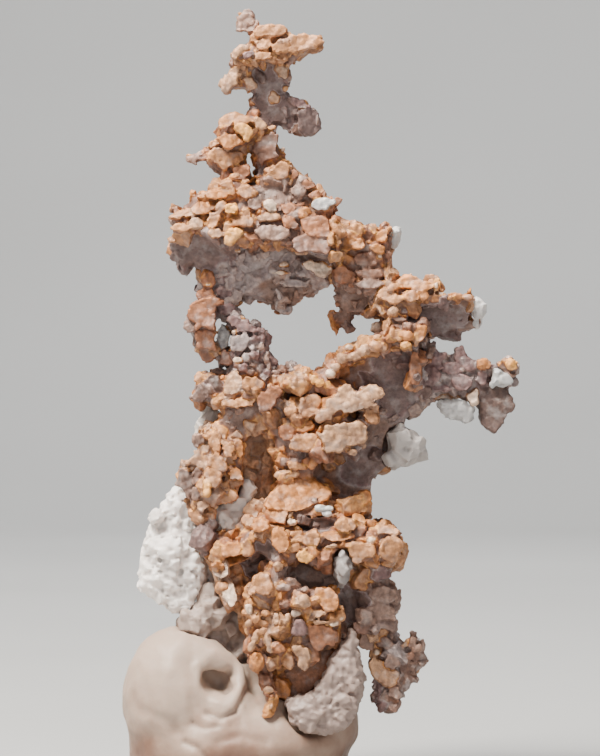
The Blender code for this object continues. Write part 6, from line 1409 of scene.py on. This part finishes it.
NECK_LEAVES = [
    ("tan", 1.2, 25, [
        (-3.8, 73.2), (-3.2, 74.0), (-2.2, 74.4), (-1.2, 74.3), (-0.2, 73.9), (0.4, 73.2), (-0.6, 73.0),
        (-1.7, 72.9), (-2.4, 73.0), (-3.3, 72.4), (-3.6, 72.6)]),
    ("russet", 1.3, -10, [
        (-3.3, 72.6), (-2.5, 73.0), (-2.0, 73.4), (-2.3, 72.7), (-3.0, 71.9), (-3.3, 71.9)]),
    ("gold", 1.5, 10, [
        (-2.0, 72.5), (-1.7, 73.1), (-0.8, 73.0), (0.0, 72.8), (0.1, 71.9), (-0.3, 71.1), (-0.8, 71.2),
        (-1.3, 71.9)]),
    ("orange", 1.4, 15, [
        (-3.9, 71.4), (-3.2, 71.9), (-2.4, 72.0), (-1.7, 71.9), (-1.2, 71.3), (-0.8, 71.1), (-1.8, 70.5),
        (-2.9, 70.2), (-3.4, 70.9)]),
    ("tan", 1.1, 20, [
        (-5.0, 70.6), (-4.6, 71.3), (-3.8, 71.6), (-3.3, 71.2), (-3.6, 70.8), (-4.4, 70.4)]),
    ("dun", 0.7, 30, [
        (-7.4, 69.4), (-6.9, 69.6), (-6.0, 70.1), (-5.1, 70.7), (-4.8, 70.2), (-5.2, 69.6), (-6.0, 69.1),
        (-6.2, 68.4), (-6.9, 68.9)]),
    ("tan", 1.1, 10, [
        (-4.9, 69.6), (-4.3, 70.3), (-3.3, 70.5), (-2.6, 70.0), (-1.7, 70.2), (-1.1, 70.0), (-0.9, 69.1),
        (-1.4, 68.6), (-2.4, 68.4), (-3.0, 67.8), (-3.6, 68.3), (-4.2, 68.9), (-4.9, 69.1)]),
    ("russet", 1.0, 5, [
        (-2.3, 68.3), (-1.3, 68.6), (-0.5, 68.6), (-0.1, 68.2), (-0.2, 67.3), (-1.0, 66.9),
        (-1.8, 67.3)]),
    ("dun", 0.8, 10, [
        (-4.8, 68.6), (-4.0, 68.6), (-3.4, 68.0), (-3.1, 67.5), (-3.8, 67.7), (-4.4, 68.0)]),
    ("tan", 1.3, 5, [
        (1.2, 67.0), (1.6, 67.4), (2.1, 68.0), (2.8, 68.6), (3.5, 68.9), (4.2, 68.4), (4.2, 67.4),
        (3.9, 66.9), (2.6, 66.8)]),
    ("russet", 1.0, 10, [(4.2, 67.3), (4.6, 67.9), (5.2, 67.9), (5.3, 67.2), (4.8, 66.9), (4.3, 66.9)]),
    ("brown", 1.0, 5, [
        (0.3, 71.2), (0.8, 71.6), (1.6, 71.9), (2.3, 72.2), (2.9, 71.9), (2.9, 71.0), (2.7, 70.2),
        (3.1, 69.5), (2.6, 69.2), (1.7, 69.1), (1.0, 68.4), (0.6, 69.2), (0.2, 70.0)]),
    ("dark", 0.6, 0, [(0.7, 68.2), (1.2, 68.6), (1.2, 67.5), (0.8, 66.9), (0.4, 66.9), (0.5, 67.3)]),
    ("russet", 0.9, 5, [(3.0, 70.2), (3.7, 70.0), (3.7, 69.3), (4.2, 68.8), (3.9, 68.3), (3.3, 69.0)]),
    ("beige", 0.9, 5, [(0.3, 73.9), (0.9, 73.7), (1.6, 73.0), (1.7, 72.6), (0.9, 72.5), (0.3, 73.0)]),
]
NECK_PEBBLES = [("pale", -5.7, 69.8, 0.6, 0.15, -35, 1.0), ("pale", 3.4, 70.3, 0.4, 0.3, 0, 1.0)]

neck, points = grown(
    "copper_neck", 0.55, 10, ["russet", "orange", "tan", "tan", "beige"], NECK_LEAVES, NECK_PEBBLES)
neck.data.materials.append(WARM)
finished(neck, points, "copper_neck", CRISP)


# ---------------------------------------------------------------- the copper's top sprig
# A spray of thin leaves at the very top, set with the smallest crystals of all.

TOP_SPRIG_LEAVES = [
    ("tan", 1.0, 20, [
        (0.2, 83.2), (0.7, 83.9), (2.0, 84.1), (3.4, 84.0), (4.0, 83.6), (3.6, 82.9), (2.6, 82.7),
        (1.6, 82.8), (0.7, 82.6)]),
    ("tan", 1.1, 15, [
        (4.2, 83.2), (5.0, 82.9), (5.8, 83.1), (6.8, 83.0), (7.6, 82.6), (8.1, 82.2), (7.8, 81.9),
        (6.6, 81.5), (5.6, 81.1), (4.4, 80.8), (3.9, 81.1), (4.0, 82.0), (4.1, 82.6)]),
    ("tan", 1.2, 10, [
        (2.2, 81.3), (2.5, 82.0), (3.4, 82.5), (4.2, 82.2), (4.6, 81.4), (4.0, 80.8), (3.0, 80.7)]),
    ("tan", 1.2, 20, [(0.3, 82.1), (1.0, 82.4), (2.1, 82.3), (2.4, 81.6), (1.6, 81.1), (0.7, 81.4)]),
    ("tan", 1.0, 10, [(-0.2, 82.9), (0.3, 83.3), (1.0, 82.8), (0.6, 82.1), (-0.2, 82.0)]),
    ("beige", 0.9, 20, [
        (-2.3, 80.6), (-2.0, 81.3), (-1.2, 81.8), (-0.3, 81.7), (-0.5, 81.1), (-1.2, 80.7),
        (-1.8, 80.1)]),
    ("violet", 0.8, 0, [(-0.9, 80.9), (0.2, 81.1), (0.4, 80.7), (-0.3, 80.2), (-0.9, 80.2)]),
    ("tan", 1.1, 15, [(0.2, 80.9), (1.2, 81.0), (2.2, 80.9), (2.2, 80.3), (1.2, 79.9), (0.4, 80.1)]),
    ("orange", 1.0, 10, [(2.9, 80.2), (3.6, 80.1), (3.5, 79.6), (3.1, 79.5)]),
    ("beige", 0.9, 10, [
        (-3.6, 77.9), (-2.9, 78.6), (-2.3, 79.3), (-1.7, 79.6), (-1.3, 79.1), (-1.6, 78.3), (-1.5, 77.5),
        (-2.2, 77.2), (-2.5, 76.5), (-3.1, 76.5), (-3.4, 77.1)]),
    ("dun", 0.9, 10, [
        (-1.9, 85.1), (-1.2, 85.2), (-0.8, 85.9), (-0.3, 85.9), (0.0, 85.3), (0.3, 84.6), (0.2, 84.0),
        (-0.3, 84.1), (-0.6, 83.4), (-1.9, 83.5), (-1.6, 84.2)]),
    ("dusk", 0.7, 0, [
        (5.0, 74.6), (6.0, 75.0), (6.8, 74.9), (7.5, 74.4), (7.7, 73.4), (7.6, 72.6), (6.8, 72.0),
        (6.0, 71.8), (5.2, 72.3), (5.1, 73.4)]),
    ("violet", 0.8, 5, [
        (4.5, 76.2), (5.2, 76.1), (6.0, 75.5), (6.6, 75.1), (5.9, 74.8), (5.0, 75.0), (4.4, 75.6)]),
]
TOP_SPRIG_PEBBLES = [
    ("beige", 4.7, 75.7, 0.3, 0.3, 0, 1.0), ("dun", 7.3, 73.6, 0.15, 0.6, 0, 0.9),
    ("dun", 4.1, 78.2, 0.35, 0.4, 0, 0.8), ("dun", 4.1, 78.9, 0.3, 0.35, 0, 0.8),
]

top_sprig, points = grown(
    "copper_top_sprig", 0.5, 11, ["violet", "dun", "brown", "tan", "tan", "beige"],
    TOP_SPRIG_LEAVES, TOP_SPRIG_PEBBLES,
    bare=[(2, 75, 1.8), (2, 77.5, 1.8), (2.2, 73.5, 1.3)],
    # The dusk patches are painted shade, partly dark patina.
    shades=[("dusk", 2, 76, 2.4, 3.6), ("dusk", 6, 73.5, 2.4, 2.2)])
top_sprig.data.materials.append(WARM)
finished(top_sprig, points, "copper_top_sprig", CRISP)


# ---------------------------------------------------------------- the gangue
# White to grey calcite and quartz that the copper grew through, left where it wouldn't break away.
# It breaks into blocky grains with flat faces, sugary where they are small and icy where large.

GANGUE_SKIN = 0.17  # how finely its grown surface is drawn
GANGUE_COVER = 1.1  # how closely the grains crowd
GANGUE_FACETS = 2.3  # size of the flat faces all over it, which stand half a grain high
FINE_FACETS, FINE_HEIGHT = 0.7, 0.09  # and of the fine ones on those, and their height
PIT_SIZE = 0.55
PIT_ROUNDS = 10  # how widely its hollows are judged
GANGUE_KINDS = {  # size of its grains, depth of its pits, how clear it is, its colours, dark to light
    "gangue_left_block": (0.5, 0.5, 0.05, (0.36, 0.31, 0.285), (0.80, 0.73, 0.68)),
    "gangue_cleft_crust": (0.5, 0.2, 0.1, (0.36, 0.30, 0.27), (0.62, 0.54, 0.49)),
    "gangue_left_knob": (0.6, 0.2, 0.2, (0.36, 0.31, 0.28), (0.60, 0.54, 0.49)),
    # The two low rocks sit in the specimen's shade: their dark colours are stain and painted shade.
    "gangue_lower_left": (0.9, 0.2, 0.1, (0.17, 0.125, 0.10), (0.33, 0.25, 0.21)),
    "gangue_lower_right": (0.45, 0.2, 0.05, (0.15, 0.095, 0.08), (0.27, 0.195, 0.165)),
    "gangue_front_chip": (0.4, 0.2, 0.1, (0.11, 0.098, 0.094), (0.27, 0.24, 0.23)),
    "gangue_right_lump": (0.9, 0.2, 0.3, (0.30, 0.26, 0.24), (0.52, 0.47, 0.44)),
    "gangue_arm_upper": (0.4, 0.2, 0.45, (0.45, 0.45, 0.44), (0.66, 0.65, 0.64)),
    "gangue_arm_lower": (0.5, 0.2, 0.45, (0.30, 0.28, 0.28), (0.56, 0.54, 0.53)),
    "gangue_shoulder_tip": (0.4, 0.2, 0.3, (0.38, 0.36, 0.34), (0.62, 0.60, 0.58)),
    "gangue_ledge_tip": (0.4, 0.2, 0.3, (0.42, 0.40, 0.38), (0.66, 0.63, 0.61)),
}
GANGUE_ZONES = {  # patches (x, z, half width, half height, how light) of a rock's front
    "gangue_left_block": [
        # The left block's dark patch at z 18.6, along its underside, is painted shade.
        (-8.2, 29.8, 4.5, 3.6, 0.12), (-9.0, 18.6, 5.0, 2.0, 0.05), (-9.5, 24.0, 3.5, 3.2, 0.9)],
    "gangue_lower_right": [(10.5, 15.5, 2.2, 4.5, 0.95), (8.0, 7.0, 3.5, 2.5, 0.45)],
    "gangue_lower_left": [(-5.0, 18.5, 1.5, 2.0, 0.8), (-2.5, 15.5, 2.0, 2.0, 0.1)],
}


def gangue_finish(name, clear, dark, light):
    """Pale mineral that lets some light in, with painted shade in its pits, faintly stained in patches.
    """
    material, shader, add, join = new_finish(name.replace("_", " "))
    stain = speckle(add, 420.0, 5.0)
    lightest = tuple(min(1.0, 1.1 * part) for part in light)
    tone = ramp(add, sum_with(add, stored(add, "tint"), 0.7, stain), [
        (0.0, dark), (0.55, light), (1.0, lightest)])
    # Painted shade in the rock's pits.
    pit_shade = ranged(add, stored(add, "hollow"), 0.02, 0.2, 0.0, 0.7)
    colour = mixed(add, pit_shade, tone, tuple(0.45 * part for part in dark))
    join(colour, shader.inputs["Base Color"])
    join(dented(add, stain, 0.4, 0.00008), shader.inputs["Normal"])
    shader.inputs["Roughness"].default_value = 0.55
    shader.inputs["IOR"].default_value = 1.54
    shader.inputs["Transmission Weight"].default_value = clear
    shader.inputs["Subsurface Weight"].default_value = 0.3
    shader.inputs["Subsurface Radius"].default_value = (1.0, 0.9, 0.8)
    shader.inputs["Subsurface Scale"].default_value = 0.0012
    return material


for i, (node, (grain, pits, clear, dark, light)) in enumerate(GANGUE_KINDS.items()):
    chance = np.random.default_rng(40 + i)
    corners, triangles = SOLIDS[node]
    whole = mesh_of("core", corners, triangles)
    core = corners - normals_of(whole) * min(SHRINK, 0.5 * grain)
    bpy.data.objects.remove(whole)
    grains = []
    set_out = spots(core, triangles, grain, GANGUE_COVER, chance, keep_off=lambda *_: False)
    for place, radius, normal in zip(*set_out):
        shape, faces = SHAPES["block"][chance.integers(SHAPES_PER_KIND)]
        centre = place - normal * radius * chance.uniform(0.3, 0.65)
        shape = (shape * radius) @ aimed(chance, normal, 0.6).T + centre
        grains.append((shape, faces, chance.uniform(0.2, 0.8)))
    rock = mesh_of(node.replace("_", "-"), *united(node, (core, triangles), grains)[:2])
    rock = fused(rock, GANGUE_SKIN)
    points, normals = corners_of(rock), normals_of(rock)
    tint = 0.3 + 0.25 * noise(points, 1.3, i) + 0.2 * noise(points, 3.5, i)
    for x, z, half_width, half_height, how_light in GANGUE_ZONES.get(node, ()):
        away = np.hypot((points[:, 0] - x) / half_width, (points[:, 2] - z) / half_height)
        part = np.clip((1.2 - away - 0.3 * noise(points, 1.8, i)) / 0.5, 0, 0.85)
        tint = tint + (how_light - tint) * part * (normals[:, 1] < BACK)
    # Painted shade: the tint falls where the rock faces down.
    attribute(rock, "tint", np.clip(tint + 0.2 * np.clip(normals[:, 2], -1, 0), 0, 1))
    height = facets(points, GANGUE_FACETS, i) * 0.5 * grain + facets(points, FINE_FACETS, i) * FINE_HEIGHT
    height -= pits * np.clip(noise(points, PIT_SIZE, i) - 0.35, 0, 1)
    points = points + normals * height[:, None]
    sunk = (evened(rock, points, PIT_ROUNDS) - points) * normals
    attribute(rock, "hollow", sunk.sum(axis=1))
    rock.data.materials.append(gangue_finish(node, clear, dark, light))
    finished(rock, points, node, CRISP)


# ---------------------------------------------------------------- the studio
# A pale sweep of card, its floor bent up into a wall. One soft light hangs over the specimen and
# a wide weak one stands far in front of it; two more light the card's floor and its wall.

CARD_HALF_WIDTH = 2.0  # all in metres
CARD_FRONT, CARD_BACK, CARD_TOP = -2.5, 0.95, 1.6
CARD_BEND = 0.3  # radius of the bend between floor and wall

profile = [(CARD_FRONT, 0.0), (CARD_BACK - CARD_BEND, 0.0)]
for angle in np.linspace(0.1, math.pi / 2, 16):
    along, up = math.sin(angle), 1 - math.cos(angle)
    profile.append((CARD_BACK - CARD_BEND + CARD_BEND * along, CARD_BEND * up))
profile.append((CARD_BACK, CARD_TOP))
card_points = [(x, y, z) for y, z in profile for x in (-CARD_HALF_WIDTH, CARD_HALF_WIDTH)]
card_faces = [(2 * i, 2 * i + 1, 2 * i + 3, 2 * i + 2) for i in range(len(profile) - 1)]
floor_data = bpy.data.meshes.new("card")
floor_data.from_pydata(card_points, [], card_faces)
floor_data.shade_smooth()
floor = bpy.data.objects.new("card", floor_data)
bpy.context.scene.collection.objects.link(floor)
card, shader, add, join = new_finish("grey card")
greys = ramp(add, speckle(add, 6.0, 2.0), [(0.3, (0.30, 0.30, 0.295)), (0.7, (0.33, 0.33, 0.325))])
join(greys, shader.inputs["Base Color"])
shader.inputs["Roughness"].default_value = 0.9
floor_data.materials.append(card)

MIDDLE = Vector((0.005333, 0.0, 0.045))  # of the specimen, which lamps and camera are set out from


def soft_light(name, place, width, power, colour=(1, 1, 1), aim=(0, 0, 0)):
    """A square soft light; its place and what it is aimed at are in metres from the middle."""
    lamp = bpy.data.lights.new(name, "AREA")
    lamp.shape = "SQUARE"
    lamp.size = width
    lamp.energy = power
    lamp.color = colour
    holder = bpy.data.objects.new(name, lamp)
    bpy.context.scene.collection.objects.link(holder)
    holder.location = MIDDLE + Vector(place)
    holder.rotation_euler = (Vector(aim) - Vector(place)).to_track_quat("-Z", "Y").to_euler()


soft_light("overhead softbox", (-0.18, -0.16, 0.40), 0.17, 9.8, (1.0, 0.95, 0.87))
soft_light("front fill", (0.29, -1.7, 0.12), 1.2, 9.4, (0.93, 0.96, 1.0))
soft_light("card light", (0.0, 0.15, 0.60), 0.3, 5.5)
soft_light("wall light", (0.0, 0.50, 0.50), 0.4, 4.9, aim=(0.0, 0.95, 0.09))
world = bpy.data.worlds.new("room")
bpy.context.scene.world = world
world.use_nodes = True
world.node_tree.nodes["Background"].inputs["Color"].default_value = (0.80, 0.79, 0.84, 1)
world.node_tree.nodes["Background"].inputs["Strength"].default_value = 0.30

CAMERA_AWAY = 0.4
SEEN_HEIGHT = 0.084  # how much height the camera takes in
lens = bpy.data.cameras.new("camera")
camera = bpy.data.objects.new("camera", lens)
bpy.context.scene.collection.objects.link(camera)
lens.lens = lens.sensor_width * CAMERA_AWAY / SEEN_HEIGHT
camera.location = MIDDLE + Vector((0, -CAMERA_AWAY, 0))
camera.rotation_euler = (math.pi / 2, 0, 0)
bpy.context.scene.camera = camera
